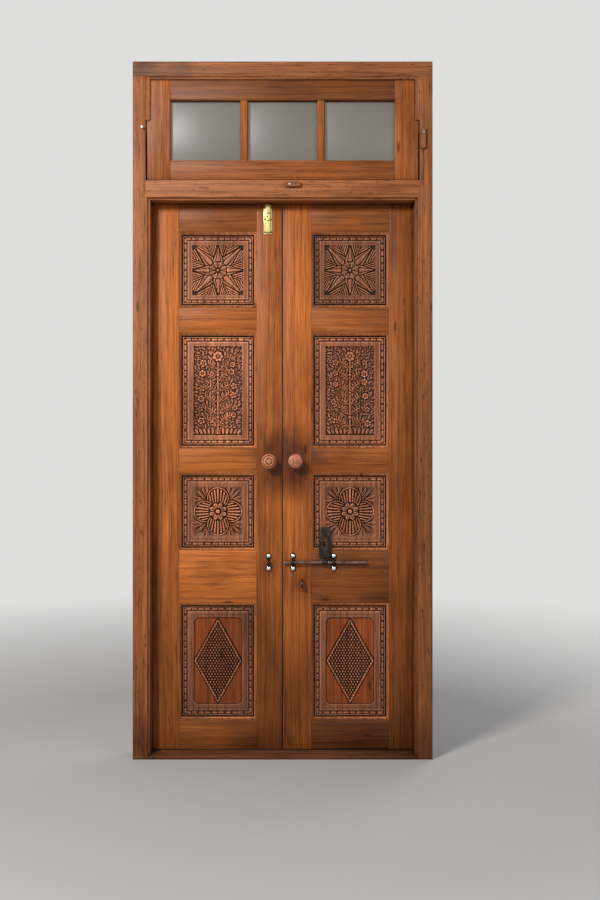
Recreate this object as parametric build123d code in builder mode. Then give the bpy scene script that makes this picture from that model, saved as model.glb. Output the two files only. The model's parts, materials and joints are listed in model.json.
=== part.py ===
from build123d import *
import math
import os

# A carved double-leaf door in its frame, with a centre-hung fanlight sash above the leaves.
# The origin is the middle of the sill's underside. X runs across the door, Y from the front
# to the back, and Z up. Sizes are in millimetres and angles in degrees.

# Door frame
FRAME_WIDTH = 1150.0
FRAME_HEIGHT = 2676.0
FRAME_DEPTH = 110.0
JAMB_WIDTH = 49.0
HEAD_HEIGHT = 56.0
SILL_HEIGHT = 14.0
TRANSOM_TOP = 2221.0
TRANSOM_HEIGHT = 63.0
DOOR_STOP_WIDTH = 17.0
ARRIS_STEP_WIDTH = 9.0
ARRIS_STEP_DEPTH = 8.0
REBATE_LAP = 12.0
STOP_ROUNDING = 2.5
FRAME_TENON_THICKNESS = 36.0
FRAME_TENON_WIDTH = 30.0
FRAME_TENON_LENGTH = 35.0

# Clearances round the leaves
LEAF_STOP_GAP = 1.0
LEAF_SIDE_GAP = 2.5
LEAF_HEAD_GAP = 3.0
LEAF_SILL_GAP = 4.0
MEETING_GAP = 4.0

# Leaves, from the bottom rail to the top one
LEAF_THICKNESS = 40.0
BOTTOM_RAIL = 116.0
LATTICE_PANEL_HEIGHT = 454.0
LOCK_RAIL = 206.0
ROSETTE_PANEL_HEIGHT = 301.0
MIDDLE_RAIL = 97.0
FLORAL_PANEL_HEIGHT = 449.0
UPPER_RAIL = 99.0
STAR_PANEL_HEIGHT = 294.0
PANEL_WIDTH = 303.0
LEFT_MEETING_STILE = 99.0
RIGHT_MEETING_STILE = 110.0
LEAF_TENON_THICKNESS = 14.0
LEAF_TENON_LENGTH = 60.0
LEAF_TENON_SHOULDER = 16.0

# Carved panels and the mouldings planted round them
PANEL_RECESS = 6.0
PANEL_THICKNESS = 26.0
PANEL_TONGUE = 8.0
PANEL_TONGUE_THICKNESS = 10.0
PANEL_CLEARANCE = 0.5
MOULDING_WIDTH = 11.0
MOULDING_HEIGHT = 6.0
MITRE_GAP = 0.4
OUTER_GROOVE_WIDTH = 3.5
BEAD_ROW_WIDTH = 12.0
INNER_GROOVE_WIDTH = 3.0
GROOVE_DEPTH = 4.0
FIELD_DEPTH = 8.0

# Fanlight sash
SASH_THICKNESS = 36.0
SASH_RECESS = 8.0
SASH_SIDE_GAP = 5.0
SASH_END_GAP = 3.0
SASH_STILE = 90.0
SASH_TOP_RAIL = 88.0
SASH_BOTTOM_RAIL = 76.0
SASH_BAR = 30.0
SASH_BAR_OFFSET = 148.0
SASH_BEVEL = 5.0
SASH_TENON_LENGTH = 40.0
SASH_TENON_THICKNESS = 12.0
SASH_TENON_SHOULDER = 14.0
SASH_STOP_GAP = 1.0
SASH_STOP_SETBACK = 2.0
GLASS_REBATE = 8.0
GLASS_LIP = 20.0
GLASS_THICKNESS = 4.0
GLASS_GAP = 1.0
GLAZING_BEAD_DEPTH = 10.0

# Sash pivots
PIVOT_HEIGHT = 212.0
PIVOT_PIN_RADIUS = 4.0
PIVOT_PIN_REACH = 8.0
PIVOT_SOCKET_GAP = 1.0
PIVOT_PLATE_THICKNESS = 3.5
PIVOT_PLATE_SIZE = 25.0
PIVOT_SOCKET_SIZE = 18.0
PIVOT_SOCKET_DEPTH = 12.0
PIVOT_STOP_CLEARANCE = 16.0

# Wooden turn-buttons
BUTTON_THICKNESS = 12.0
BUTTON_CORNER = 5.0
BUTTON_CHAMFER = 2.5
BUTTON_SCREW_RADIUS = 2.5
BUTTON_SCREW_HEAD = 5.0
BUTTON_SCREW_HEAD_HEIGHT = 2.0
BUTTON_SCREW_HEAD_GAP = 0.3
TRANSOM_BUTTON_LENGTH = 61.0
TRANSOM_BUTTON_WIDTH = 19.0
TRANSOM_BUTTON_X = 28.0
TRANSOM_BUTTON_DROP = 17.5
JAMB_BUTTON_LENGTH = 80.0
JAMB_BUTTON_WIDTH = 18.5
JAMB_BUTTON_INSET = 13.0
JAMB_BUTTON_DROP = 34.0
LOST_BUTTON_SCREW_INSET = 10.5
LOST_BUTTON_SCREW_DROP = 14.0

# Fixed-pin butt hinges at the back of the leaves
HINGE_LENGTH = 100.0
HINGE_HEIGHTS = (300.0, 1090.0, 1880.0)
HINGE_PIN_RADIUS = 3.0
HINGE_KNUCKLE_RADIUS = 5.0
HINGE_KNUCKLE_COUNT = 3
HINGE_KNUCKLE_GAP = 0.4
HINGE_FLAP_THICKNESS = 1.0
HINGE_FLAP_DEPTH = 30.0
HINGE_PIN_STANDOFF = 6.5

# Pull knobs
KNOB_RADIUS = 28.5
KNOB_LENGTH = 52.0
KNOB_HEIGHT = 1142.0
LEFT_KNOB_X = -53.0
RIGHT_KNOB_X = 50.0

# Sliding latch
LATCH_HEIGHT = 748.0
LATCH_ROD_RADIUS = 6.0
LATCH_ROD_STANDOFF = 14.0
LATCH_ROD_LENGTH = 325.0
LATCH_TRAVEL = 88.0
LATCH_TIP_CLEARANCE = 4.0
LATCH_COLLAR_RADIUS = 9.0
LATCH_COLLAR_WIDTH = 5.0
LATCH_STRAP_WIDTH = 11.0
LATCH_STRAP_THICKNESS = 3.0
LATCH_STRAP_HALF_HEIGHT = 34.0
LEFT_STRAP_X = -55.0
MIDDLE_STRAP_X = 40.0
END_STRAP_X = 199.0
STUD_RADIUS = 10.5
STUD_HEIGHT = 7.0
STUD_SIDES = 12
STUD_OFFSET = 24.5

# Hasp on the latch rod and the staple that it drops over
HASP_X = 76.0
HASP_WIDTH = 44.0
HASP_REACH = 138.0
HASP_THICKNESS = 4.0
HASP_SHOULDER = 8.0
HASP_EYE_WIDTH = 24.0
HASP_EYE_GAP = 0.5
HASP_SLOT_WIDTH = 15.0
HASP_SLOT_LENGTH = 48.0
HASP_SLOT_DROP = 84.0
HASP_LEAN = 4.5
STAPLE_BAR = 6.0
STAPLE_EYE = 11.0
STAPLE_SIDES = 12
STAPLE_STANDOFF = 30.0

# Tower bolt at the top of the left leaf
TOWER_BOLT_X = -57.0
TOWER_BOLT_LENGTH = 117.0
TOWER_BOLT_WIDTH = 33.0
TOWER_BOLT_PLATE = 2.0
TOWER_BOLT_CASE_WIDTH = 16.0
TOWER_BOLT_CASE_DEPTH = 12.0
TOWER_BOLT_ROD_RADIUS = 4.0
TOWER_BOLT_ROD_LENGTH = 82.0
TOWER_BOLT_TRAVEL = 24.0
TOWER_BOLT_TOP_GAP = 3.0
TOWER_BOLT_KNOB_RADIUS = 5.0
TOWER_BOLT_KNOB_RISE = 20.0
TOWER_BOLT_STEM_RADIUS = 2.0
TOWER_BOLT_STEM_REACH = 2.0
TOWER_BOLT_SLOT_CLEARANCE = 0.5
TOWER_BOLT_FOOT = 6.0
TOWER_BOLT_HOLE_CLEARANCE = 2.5

# Fits of the turning and sliding metal, and the facets of its small round pieces
RUNNING_FIT = 0.05
SMALL_ROD_SIDES = 12

# Planes and edges that the pieces share
FRONT = -FRAME_DEPTH / 2
BACK = FRAME_DEPTH / 2
OUTER_EDGE = FRAME_WIDTH / 2
JAMB_FACE = OUTER_EDGE - JAMB_WIDTH
STOP_EDGE = JAMB_FACE - DOOR_STOP_WIDTH
ARRIS_EDGE = STOP_EDGE + ARRIS_STEP_WIDTH
REBATE_EDGE = STOP_EDGE + REBATE_LAP
ARRIS_BACK = FRONT + ARRIS_STEP_DEPTH
LEAF_FRONT = BACK - LEAF_THICKNESS
STOP_BACK = LEAF_FRONT - LEAF_STOP_GAP
HEAD_SOFFIT = FRAME_HEIGHT - HEAD_HEIGHT
TRANSOM_SOFFIT = TRANSOM_TOP - TRANSOM_HEIGHT
STOP_SOFFIT = TRANSOM_SOFFIT - REBATE_LAP
LEAF_TOP = TRANSOM_SOFFIT - LEAF_HEAD_GAP
LEAF_BOTTOM = SILL_HEIGHT + LEAF_SILL_GAP
LEAF_EDGE = REBATE_EDGE - LEAF_SIDE_GAP
TENON_Y = (LEAF_FRONT + BACK) / 2
PANEL_FRONT = LEAF_FRONT + PANEL_RECESS
FIELD_FLOOR = PANEL_FRONT + FIELD_DEPTH

SASH_FRONT = FRONT + SASH_RECESS
SASH_BACK = SASH_FRONT + SASH_THICKNESS
SASH_EDGE = JAMB_FACE - SASH_SIDE_GAP
SASH_BOTTOM = TRANSOM_TOP + SASH_END_GAP
SASH_TOP = HEAD_SOFFIT - SASH_END_GAP
SASH_LIGHT_EDGE = SASH_EDGE - SASH_STILE
SASH_LIGHT_BOTTOM = SASH_BOTTOM + SASH_BOTTOM_RAIL
SASH_LIGHT_TOP = SASH_TOP - SASH_TOP_RAIL
GLASS_FRONT = SASH_FRONT + GLASS_LIP
GLASS_BACK = GLASS_FRONT + GLASS_THICKNESS
PIVOT_Y = (SASH_FRONT + SASH_BACK) / 2
PIVOT_Z = SASH_BOTTOM + PIVOT_HEIGHT

# Each pane as its left and right sight edges
PANES = {
    "left": (-SASH_LIGHT_EDGE, -SASH_BAR_OFFSET - SASH_BAR / 2),
    "middle": (-SASH_BAR_OFFSET + SASH_BAR / 2, SASH_BAR_OFFSET - SASH_BAR / 2),
    "right": (SASH_BAR_OFFSET + SASH_BAR / 2, SASH_LIGHT_EDGE),
}

# Each panel opening as its lower and upper edges
LATTICE_BOTTOM = LEAF_BOTTOM + BOTTOM_RAIL
ROSETTE_BOTTOM = LATTICE_BOTTOM + LATTICE_PANEL_HEIGHT + LOCK_RAIL
FLORAL_BOTTOM = ROSETTE_BOTTOM + ROSETTE_PANEL_HEIGHT + MIDDLE_RAIL
STAR_BOTTOM = FLORAL_BOTTOM + FLORAL_PANEL_HEIGHT + UPPER_RAIL
OPENINGS = {
    "lattice": (LATTICE_BOTTOM, LATTICE_BOTTOM + LATTICE_PANEL_HEIGHT),
    "rosette": (ROSETTE_BOTTOM, ROSETTE_BOTTOM + ROSETTE_PANEL_HEIGHT),
    "floral": (FLORAL_BOTTOM, FLORAL_BOTTOM + FLORAL_PANEL_HEIGHT),
    "star": (STAR_BOTTOM, STAR_BOTTOM + STAR_PANEL_HEIGHT),
}
RAILS = {
    "bottom_rail": (LEAF_BOTTOM, OPENINGS["lattice"][0]),
    "lock_rail": (OPENINGS["lattice"][1], OPENINGS["rosette"][0]),
    "middle_rail": (OPENINGS["rosette"][1], OPENINGS["floral"][0]),
    "upper_rail": (OPENINGS["floral"][1], OPENINGS["star"][0]),
    "top_rail": (OPENINGS["star"][1], LEAF_TOP),
}

# Each leaf as its side of the door and the width of its meeting stile
LEAVES = {
    "left": (-1, LEFT_MEETING_STILE),
    "right": (1, RIGHT_MEETING_STILE),
}

os.makedirs("parts", exist_ok=True)


def save(piece, label):
    """Label a finished piece and write it to its own file."""
    piece.label = label
    export_step(piece, f"parts/{label}.step")


def block(x_limits, y_limits, z_limits, mode=Mode.ADD):
    """A rectangular block between two limits along each axis."""
    low = [min(limits) for limits in (x_limits, y_limits, z_limits)]
    high = [max(limits) for limits in (x_limits, y_limits, z_limits)]
    with Locations(tuple((a + b) / 2 for a, b in zip(low, high))):
        Box(*(b - a for a, b in zip(low, high)), mode=mode)


def prism(points, plane, amount, mode=Mode.ADD):
    """A straight prism on a polygon that is drawn on a plane."""
    with BuildSketch(plane, mode=Mode.PRIVATE) as outline:
        Polygon(*points, align=None)
    extrude(outline.sketch, amount=amount, mode=mode)


def rod(start, direction, radius, length, mode=Mode.ADD):
    """A round rod or hole that starts at a point and runs along a direction."""
    with BuildSketch(Plane(start, z_dir=direction), mode=Mode.PRIVATE) as outline:
        Circle(radius)
    extrude(outline.sketch, amount=length, mode=mode)


def small_rod(start, direction, radius, length):
    """A small rod with facets, which stay inside its radius."""
    with BuildSketch(Plane(start, z_dir=direction), mode=Mode.PRIVATE) as outline:
        RegularPolygon(radius, SMALL_ROD_SIDES)
    extrude(outline.sketch, amount=length)


def polar(radius, angle, centre=(0.0, 0.0)):
    """A point at a radius and an angle about a centre."""
    turn = math.radians(angle)
    return centre[0] + radius * math.cos(turn), centre[1] + radius * math.sin(turn)


def faceted_turning(plane, levels, sides):
    """A turned shape in flat facets, from its heights above a plane and its radii there."""
    rings = []
    for height, radius in levels:
        corners = [polar(radius, index * 360 / sides) for index in range(sides)]
        rings.append([plane.from_local_coords(Vector(x, y, height)) for x, y in corners])
    outlines = [rings[0], rings[-1]]
    for low, high in zip(rings, rings[1:]):
        for index in range(sides):
            after = (index + 1) % sides
            outlines.append([low[index], low[after], high[after], high[index]])
    add(Solid(Shell([Face(Wire.make_polygon(outline)) for outline in outlines])))


# Right jamb: a plain post with the planted door stop below the transom bar, a front stop above
# the sash pivot and a back stop below it, so that the sash swings only one way.
def head_tenon(side, mode=Mode.ADD):
    middle = (JAMB_FACE + OUTER_EDGE) / 2
    block(
        (side * (middle - FRAME_TENON_WIDTH / 2), side * (middle + FRAME_TENON_WIDTH / 2)),
        (-FRAME_TENON_THICKNESS / 2, FRAME_TENON_THICKNESS / 2),
        (HEAD_SOFFIT, HEAD_SOFFIT + FRAME_TENON_LENGTH),
        mode,
    )


def transom_tenon(side, mode=Mode.ADD):
    middle = (TRANSOM_SOFFIT + TRANSOM_TOP) / 2
    block(
        (side * JAMB_FACE, side * (JAMB_FACE + FRAME_TENON_LENGTH)),
        (-FRAME_TENON_THICKNESS / 2, FRAME_TENON_THICKNESS / 2),
        (middle - FRAME_TENON_WIDTH / 2, middle + FRAME_TENON_WIDTH / 2),
        mode,
    )


def pivot_socket_block(mode=Mode.ADD):
    half = PIVOT_SOCKET_SIZE / 2
    block(
        (JAMB_FACE, JAMB_FACE + PIVOT_SOCKET_DEPTH),
        (PIVOT_Y - half, PIVOT_Y + half),
        (PIVOT_Z - half, PIVOT_Z + half),
        mode,
    )


with BuildPart() as right_jamb:
    block((JAMB_FACE, OUTER_EDGE), (FRONT, BACK), (0, HEAD_SOFFIT))
    with BuildSketch(Plane.XY):
        with BuildLine():
            Polyline(
                (JAMB_FACE, FRONT),
                (ARRIS_EDGE, FRONT),
                (ARRIS_EDGE, ARRIS_BACK),
                (STOP_EDGE, ARRIS_BACK),
                (STOP_EDGE, STOP_BACK),
                (REBATE_EDGE, STOP_BACK),
                (REBATE_EDGE, BACK),
                (JAMB_FACE, BACK),
                close=True,
            )
        stop_section = make_face()
        rounded = [
            stop_section.vertices().sort_by_distance((ARRIS_EDGE, FRONT))[0],
            stop_section.vertices().sort_by_distance((STOP_EDGE, ARRIS_BACK))[0],
        ]
        fillet(rounded, STOP_ROUNDING)
    extrude(amount=TRANSOM_SOFFIT)
    block(
        (STOP_EDGE, JAMB_FACE),
        (FRONT + SASH_STOP_SETBACK, SASH_FRONT - SASH_STOP_GAP),
        (PIVOT_Z + PIVOT_STOP_CLEARANCE, HEAD_SOFFIT),
    )
    block(
        (STOP_EDGE, JAMB_FACE),
        (SASH_BACK + SASH_STOP_GAP, BACK),
        (TRANSOM_TOP, PIVOT_Z - PIVOT_STOP_CLEARANCE),
    )
    head_tenon(1)
    transom_tenon(1, Mode.SUBTRACT)
    pivot_socket_block(Mode.SUBTRACT)
save(right_jamb.part, "right_jamb")

with BuildPart() as left_jamb:
    mirror(right_jamb.part, about=Plane.YZ)
save(left_jamb.part, "left_jamb")

# Head: it lies over both jambs and carries the front stop of the sash.
with BuildPart() as head:
    block((-OUTER_EDGE, OUTER_EDGE), (FRONT, BACK), (HEAD_SOFFIT, FRAME_HEIGHT))
    block(
        (-STOP_EDGE, STOP_EDGE),
        (FRONT + SASH_STOP_SETBACK, SASH_FRONT - SASH_STOP_GAP),
        (HEAD_SOFFIT - REBATE_LAP, HEAD_SOFFIT),
    )
    for side in (-1, 1):
        head_tenon(side, Mode.SUBTRACT)
save(head.part, "head")

# Transom bar: the door stop and leaf rebate are under it, and the sash's back stop on it. The
# tower bolt shoots into a hole in its soffit.
TOWER_BOLT_Y = LEAF_FRONT - TOWER_BOLT_PLATE - TOWER_BOLT_CASE_DEPTH / 2

with BuildPart() as transom_bar:
    block((-JAMB_FACE, JAMB_FACE), (FRONT, BACK), (TRANSOM_SOFFIT, TRANSOM_TOP))
    block(
        (-ARRIS_EDGE, ARRIS_EDGE),
        (FRONT, ARRIS_BACK),
        (STOP_SOFFIT + ARRIS_STEP_WIDTH, TRANSOM_SOFFIT),
    )
    block((-STOP_EDGE, STOP_EDGE), (ARRIS_BACK, STOP_BACK), (STOP_SOFFIT, TRANSOM_SOFFIT))
    block(
        (-STOP_EDGE, STOP_EDGE),
        (SASH_BACK + SASH_STOP_GAP, BACK),
        (TRANSOM_TOP, TRANSOM_TOP + REBATE_LAP),
    )
    for side in (-1, 1):
        transom_tenon(side)
    rod(
        (TOWER_BOLT_X, TOWER_BOLT_Y, STOP_SOFFIT),
        (0, 0, 1),
        TOWER_BOLT_ROD_RADIUS + TOWER_BOLT_HOLE_CLEARANCE,
        TOWER_BOLT_TRAVEL + 2 * TOWER_BOLT_TOP_GAP,
        Mode.SUBTRACT,
    )
save(transom_bar.part, "transom_bar")

# Sill: a thin board that follows the outline between the jambs and their stops.
with BuildPart() as sill:
    with BuildSketch(Plane.XY):
        with BuildLine():
            right_edge = Polyline(
                (0, FRONT),
                (ARRIS_EDGE, FRONT),
                (ARRIS_EDGE, ARRIS_BACK),
                (STOP_EDGE, ARRIS_BACK),
                (STOP_EDGE, STOP_BACK),
                (REBATE_EDGE, STOP_BACK),
                (REBATE_EDGE, BACK),
                (0, BACK),
            )
            mirror(right_edge, about=Plane.YZ)
        make_face()
    extrude(amount=SILL_HEIGHT)
save(sill.part, "sill")

# Pivot sockets let into the jambs
with BuildPart() as pivot_sockets:
    pivot_socket_block()
    rod(
        (JAMB_FACE, PIVOT_Y, PIVOT_Z),
        (1, 0, 0),
        PIVOT_PIN_RADIUS + RUNNING_FIT,
        PIVOT_PIN_REACH + PIVOT_SOCKET_GAP,
        Mode.SUBTRACT,
    )
    mirror(about=Plane.YZ)
save(pivot_sockets.part, "pivot_sockets")


# Fanlight sash: the members are cut by the same pane openings, so the bevels and the glazing
# rebate run on from one to the next.
def pane_face(pane, y, margin):
    """A pane's opening, widened by a margin all round, on the plane at depth y."""
    left, right = PANES[pane]
    middle = ((left + right) / 2, (SASH_LIGHT_BOTTOM + SASH_LIGHT_TOP) / 2)
    with BuildSketch(Plane.XZ.offset(-y), mode=Mode.PRIVATE) as opening:
        with Locations(middle):
            Rectangle(right - left + 2 * margin, SASH_LIGHT_TOP - SASH_LIGHT_BOTTOM + 2 * margin)
    return opening.sketch


def cut_panes():
    """Cut the sight openings, their front bevels and the glazing rebates."""
    for pane in PANES:
        extrude(pane_face(pane, SASH_BACK, 0), amount=SASH_THICKNESS, mode=Mode.SUBTRACT)
        bevel = [
            pane_face(pane, SASH_FRONT, SASH_BEVEL),
            pane_face(pane, SASH_FRONT + SASH_BEVEL, 0),
        ]
        loft(bevel, ruled=True, mode=Mode.SUBTRACT)
        rebate = pane_face(pane, SASH_BACK, GLASS_REBATE)
        extrude(rebate, amount=SASH_BACK - GLASS_FRONT, mode=Mode.SUBTRACT)


SASH_RAILS = {
    "sash_bottom_rail": (SASH_BOTTOM, SASH_LIGHT_BOTTOM),
    "sash_top_rail": (SASH_LIGHT_TOP, SASH_TOP),
}


def sash_tenon(side, rail, mode=Mode.ADD):
    """A rail's tenon in the stile, kept clear of the glazing rebate."""
    bottom, top = SASH_RAILS[rail]
    tenon_back = GLASS_FRONT - SASH_BEVEL
    block(
        (side * SASH_LIGHT_EDGE, side * (SASH_LIGHT_EDGE + SASH_TENON_LENGTH)),
        (tenon_back - SASH_TENON_THICKNESS, tenon_back),
        (bottom + SASH_TENON_SHOULDER, top - SASH_TENON_SHOULDER),
        mode,
    )


with BuildPart() as sash_right_stile:
    block((SASH_LIGHT_EDGE, SASH_EDGE), (SASH_FRONT, SASH_BACK), (SASH_BOTTOM, SASH_TOP))
    cut_panes()
    for rail in SASH_RAILS:
        sash_tenon(1, rail, Mode.SUBTRACT)
save(sash_right_stile.part, "sash_right_stile")

with BuildPart() as sash_left_stile:
    mirror(sash_right_stile.part, about=Plane.YZ)
save(sash_left_stile.part, "sash_left_stile")

for rail, (bottom, top) in SASH_RAILS.items():
    with BuildPart() as sash_rail:
        block((-SASH_LIGHT_EDGE, SASH_LIGHT_EDGE), (SASH_FRONT, SASH_BACK), (bottom, top))
        cut_panes()
        for side in (-1, 1):
            sash_tenon(side, rail)
    save(sash_rail.part, rail)

with BuildPart() as sash_bars:
    for side in (-1, 1):
        block(
            (side * SASH_BAR_OFFSET - SASH_BAR / 2, side * SASH_BAR_OFFSET + SASH_BAR / 2),
            (SASH_FRONT, SASH_BACK),
            (SASH_LIGHT_BOTTOM, SASH_LIGHT_TOP),
        )
    cut_panes()
save(sash_bars.part, "sash_bars")

for pane in PANES:
    with BuildPart() as glass:
        face = pane_face(pane, GLASS_BACK, GLASS_REBATE - GLASS_GAP)
        extrude(face, amount=GLASS_THICKNESS)
    save(glass.part, f"{pane}_pane")


def mitred_strips(width, height, strip, section, plane):
    """Four strips round a rectangle, mitred at its corners.

    The section is a polygon of distances inward from the rectangle's edge and heights above
    the plane.
    """
    strips = []
    directions = (plane.x_dir, plane.y_dir, -plane.x_dir, -plane.y_dir)
    for x_dir, (along, across) in zip(directions, ((width, height), (height, width)) * 2):
        side_plane = Plane(plane.origin, x_dir=x_dir, z_dir=plane.z_dir)
        half, edge = along / 2, across / 2
        section_plane = Plane(
            side_plane.from_local_coords(Vector(-half, -edge, 0)),
            x_dir=side_plane.y_dir,
            z_dir=side_plane.x_dir,
        )
        end = half - MITRE_GAP / 2
        mitre = [(-end, -edge), (end, -edge), (end - strip, strip - edge), (strip - end, strip - edge)]
        reach = max(rise for _, rise in section) + 1
        with BuildPart() as piece:
            prism(section, section_plane, along)
            prism(mitre, side_plane.offset(-1), reach + 1, Mode.INTERSECT)
        strips.append(piece.part)
    return strips


# Glazing beads behind the panes
GLAZING_BEAD_SECTION = [
    (0, 0),
    (0, GLAZING_BEAD_DEPTH),
    (GLASS_REBATE / 2, GLAZING_BEAD_DEPTH),
    (GLASS_REBATE, GLAZING_BEAD_DEPTH / 2),
    (GLASS_REBATE, 0),
]

bead_strips = []
for left, right in PANES.values():
    bead_plane = Plane(
        ((left + right) / 2, GLASS_BACK, (SASH_LIGHT_BOTTOM + SASH_LIGHT_TOP) / 2),
        x_dir=(-1, 0, 0),
        z_dir=(0, 1, 0),
    )
    bead_strips += mitred_strips(
        right - left + 2 * GLASS_REBATE,
        SASH_LIGHT_TOP - SASH_LIGHT_BOTTOM + 2 * GLASS_REBATE,
        GLASS_REBATE,
        GLAZING_BEAD_SECTION,
        bead_plane,
    )

with BuildPart() as glazing_beads:
    add(bead_strips)
save(glazing_beads.part, "glazing_beads")

# Pivot pins on plates that are screwed to the sash's edges
with BuildPart() as pivot_pins:
    block(
        (SASH_EDGE, SASH_EDGE + PIVOT_PLATE_THICKNESS),
        (PIVOT_Y - PIVOT_PLATE_SIZE / 2, PIVOT_Y + PIVOT_PLATE_SIZE / 2),
        (PIVOT_Z - PIVOT_PLATE_SIZE / 2, PIVOT_Z + PIVOT_PLATE_SIZE / 2),
    )
    small_rod(
        (SASH_EDGE, PIVOT_Y, PIVOT_Z),
        (1, 0, 0),
        PIVOT_PIN_RADIUS,
        SASH_SIDE_GAP + PIVOT_PIN_REACH,
    )
    mirror(about=Plane.YZ)
save(pivot_pins.part, "pivot_pins")

# Turn-buttons: bars with clipped corners that turn on a screw. The transom button lies level in
# its open position, and the jamb button hangs.
TRANSOM_BUTTON_Z = TRANSOM_TOP - TRANSOM_BUTTON_DROP
JAMB_BUTTON_X = JAMB_FACE + JAMB_BUTTON_INSET
JAMB_BUTTON_Z = PIVOT_Z - JAMB_BUTTON_DROP


TURN_BUTTONS = {
    "transom_button": (
        Plane((TRANSOM_BUTTON_X, FRONT, TRANSOM_BUTTON_Z), x_dir=(1, 0, 0), z_dir=(0, -1, 0)),
        TRANSOM_BUTTON_LENGTH,
        TRANSOM_BUTTON_WIDTH,
    ),
    "jamb_button": (
        Plane((JAMB_BUTTON_X, FRONT, JAMB_BUTTON_Z), x_dir=(0, 0, -1), z_dir=(0, -1, 0)),
        JAMB_BUTTON_LENGTH,
        JAMB_BUTTON_WIDTH,
    ),
}

for name, (plane, length, width) in TURN_BUTTONS.items():
    with BuildPart() as button:
        with BuildSketch(plane) as outline:
            with Locations((length / 2 - width, 0)):
                Rectangle(length, width)
            chamfer(outline.vertices(), BUTTON_CORNER)
        extrude(amount=BUTTON_THICKNESS)
        chamfer(button.faces().sort_by(Axis.Y)[0].edges(), BUTTON_CHAMFER)
        hole_radius = BUTTON_SCREW_RADIUS + RUNNING_FIT
        rod(plane.origin, plane.z_dir, hole_radius, BUTTON_THICKNESS, Mode.SUBTRACT)
    save(button.part, name)

# The buttons' screws, and the one that is left of a lost button on the left jamb
BUTTON_SCREWS = (
    (TRANSOM_BUTTON_X, TRANSOM_BUTTON_Z),
    (JAMB_BUTTON_X, JAMB_BUTTON_Z),
    (-JAMB_FACE - LOST_BUTTON_SCREW_INSET, PIVOT_Z - LOST_BUTTON_SCREW_DROP),
)

with BuildPart() as button_screws:
    for x, z in BUTTON_SCREWS:
        shank = BUTTON_THICKNESS + BUTTON_SCREW_HEAD_GAP
        small_rod((x, FRONT, z), (0, -1, 0), BUTTON_SCREW_RADIUS, shank)
        head_start = (x, FRONT - shank, z)
        small_rod(head_start, (0, -1, 0), BUTTON_SCREW_HEAD, BUTTON_SCREW_HEAD_HEIGHT)
save(button_screws.part, "button_screws")

# Leaf framing: stiles and rails with mortise-and-tenon joints, grooved for the panels
GROOVE = (TENON_Y - PANEL_TONGUE_THICKNESS / 2, TENON_Y + PANEL_TONGUE_THICKNESS / 2)


def panel_sides(side, meeting_stile):
    """The panels' edges nearest the meeting line and nearest the hinges."""
    inner = MEETING_GAP / 2 + meeting_stile
    return side * inner, side * (inner + PANEL_WIDTH)


def cut_grooves(side, meeting_stile):
    """Cut the grooves for the panels' tongues."""
    inner, outer = panel_sides(side, meeting_stile)
    for bottom, top in OPENINGS.values():
        block(
            (inner - side * PANEL_TONGUE, outer + side * PANEL_TONGUE),
            GROOVE,
            (bottom - PANEL_TONGUE, top + PANEL_TONGUE),
            Mode.SUBTRACT,
        )


def leaf_tenons(side, meeting_stile, rail, mode=Mode.ADD):
    """The tenons at both ends of a rail."""
    inner, outer = panel_sides(side, meeting_stile)
    bottom, top = RAILS[rail]
    for edge, outward in ((inner, -side), (outer, side)):
        block(
            (edge, edge + outward * LEAF_TENON_LENGTH),
            (TENON_Y - LEAF_TENON_THICKNESS / 2, TENON_Y + LEAF_TENON_THICKNESS / 2),
            (bottom + LEAF_TENON_SHOULDER, top - LEAF_TENON_SHOULDER),
            mode,
        )


for leaf, (side, meeting_stile) in LEAVES.items():
    inner, outer = panel_sides(side, meeting_stile)
    stiles = {
        "meeting_stile": (side * MEETING_GAP / 2, inner),
        "hinge_stile": (outer, side * LEAF_EDGE),
    }
    for stile, limits in stiles.items():
        with BuildPart() as leaf_stile:
            block(limits, (LEAF_FRONT, BACK), (LEAF_BOTTOM, LEAF_TOP))
            cut_grooves(side, meeting_stile)
            for rail in RAILS:
                leaf_tenons(side, meeting_stile, rail, Mode.SUBTRACT)
        save(leaf_stile.part, f"{leaf}_{stile}")
    for rail, limits in RAILS.items():
        with BuildPart() as leaf_rail:
            block((inner, outer), (LEAF_FRONT, BACK), limits)
            cut_grooves(side, meeting_stile)
            leaf_tenons(side, meeting_stile, rail)
        save(leaf_rail.part, f"{leaf}_{rail}")

# Mouldings planted on the panels' borders, level with the leaf's face
MOULDING_SECTION = [
    (0, 0),
    (0, MOULDING_HEIGHT),
    (MOULDING_WIDTH * 0.4, MOULDING_HEIGHT),
    (MOULDING_WIDTH * 0.75, MOULDING_HEIGHT / 2),
    (MOULDING_WIDTH, MOULDING_HEIGHT / 3),
    (MOULDING_WIDTH, 0),
]

for leaf, (side, meeting_stile) in LEAVES.items():
    inner, outer = panel_sides(side, meeting_stile)
    strips = []
    for bottom, top in OPENINGS.values():
        panel_plane = Plane(
            ((inner + outer) / 2, PANEL_FRONT, (bottom + top) / 2),
            x_dir=(1, 0, 0),
            z_dir=(0, -1, 0),
        )
        strips += mitred_strips(
            PANEL_WIDTH, top - bottom, MOULDING_WIDTH, MOULDING_SECTION, panel_plane
        )
    with BuildPart() as mouldings:
        add(strips)
    save(mouldings.part, f"{leaf}_panel_mouldings")


# Carved panels: each is made once about its own middle, with a bordered face, a sunk field and
# the relief of its own motif, and then set in both leaves.
BORDER = MOULDING_WIDTH + OUTER_GROOVE_WIDTH + BEAD_ROW_WIDTH + INNER_GROOVE_WIDTH
FIELD_PLANE = Plane.XZ.offset(-FIELD_FLOOR)


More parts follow.
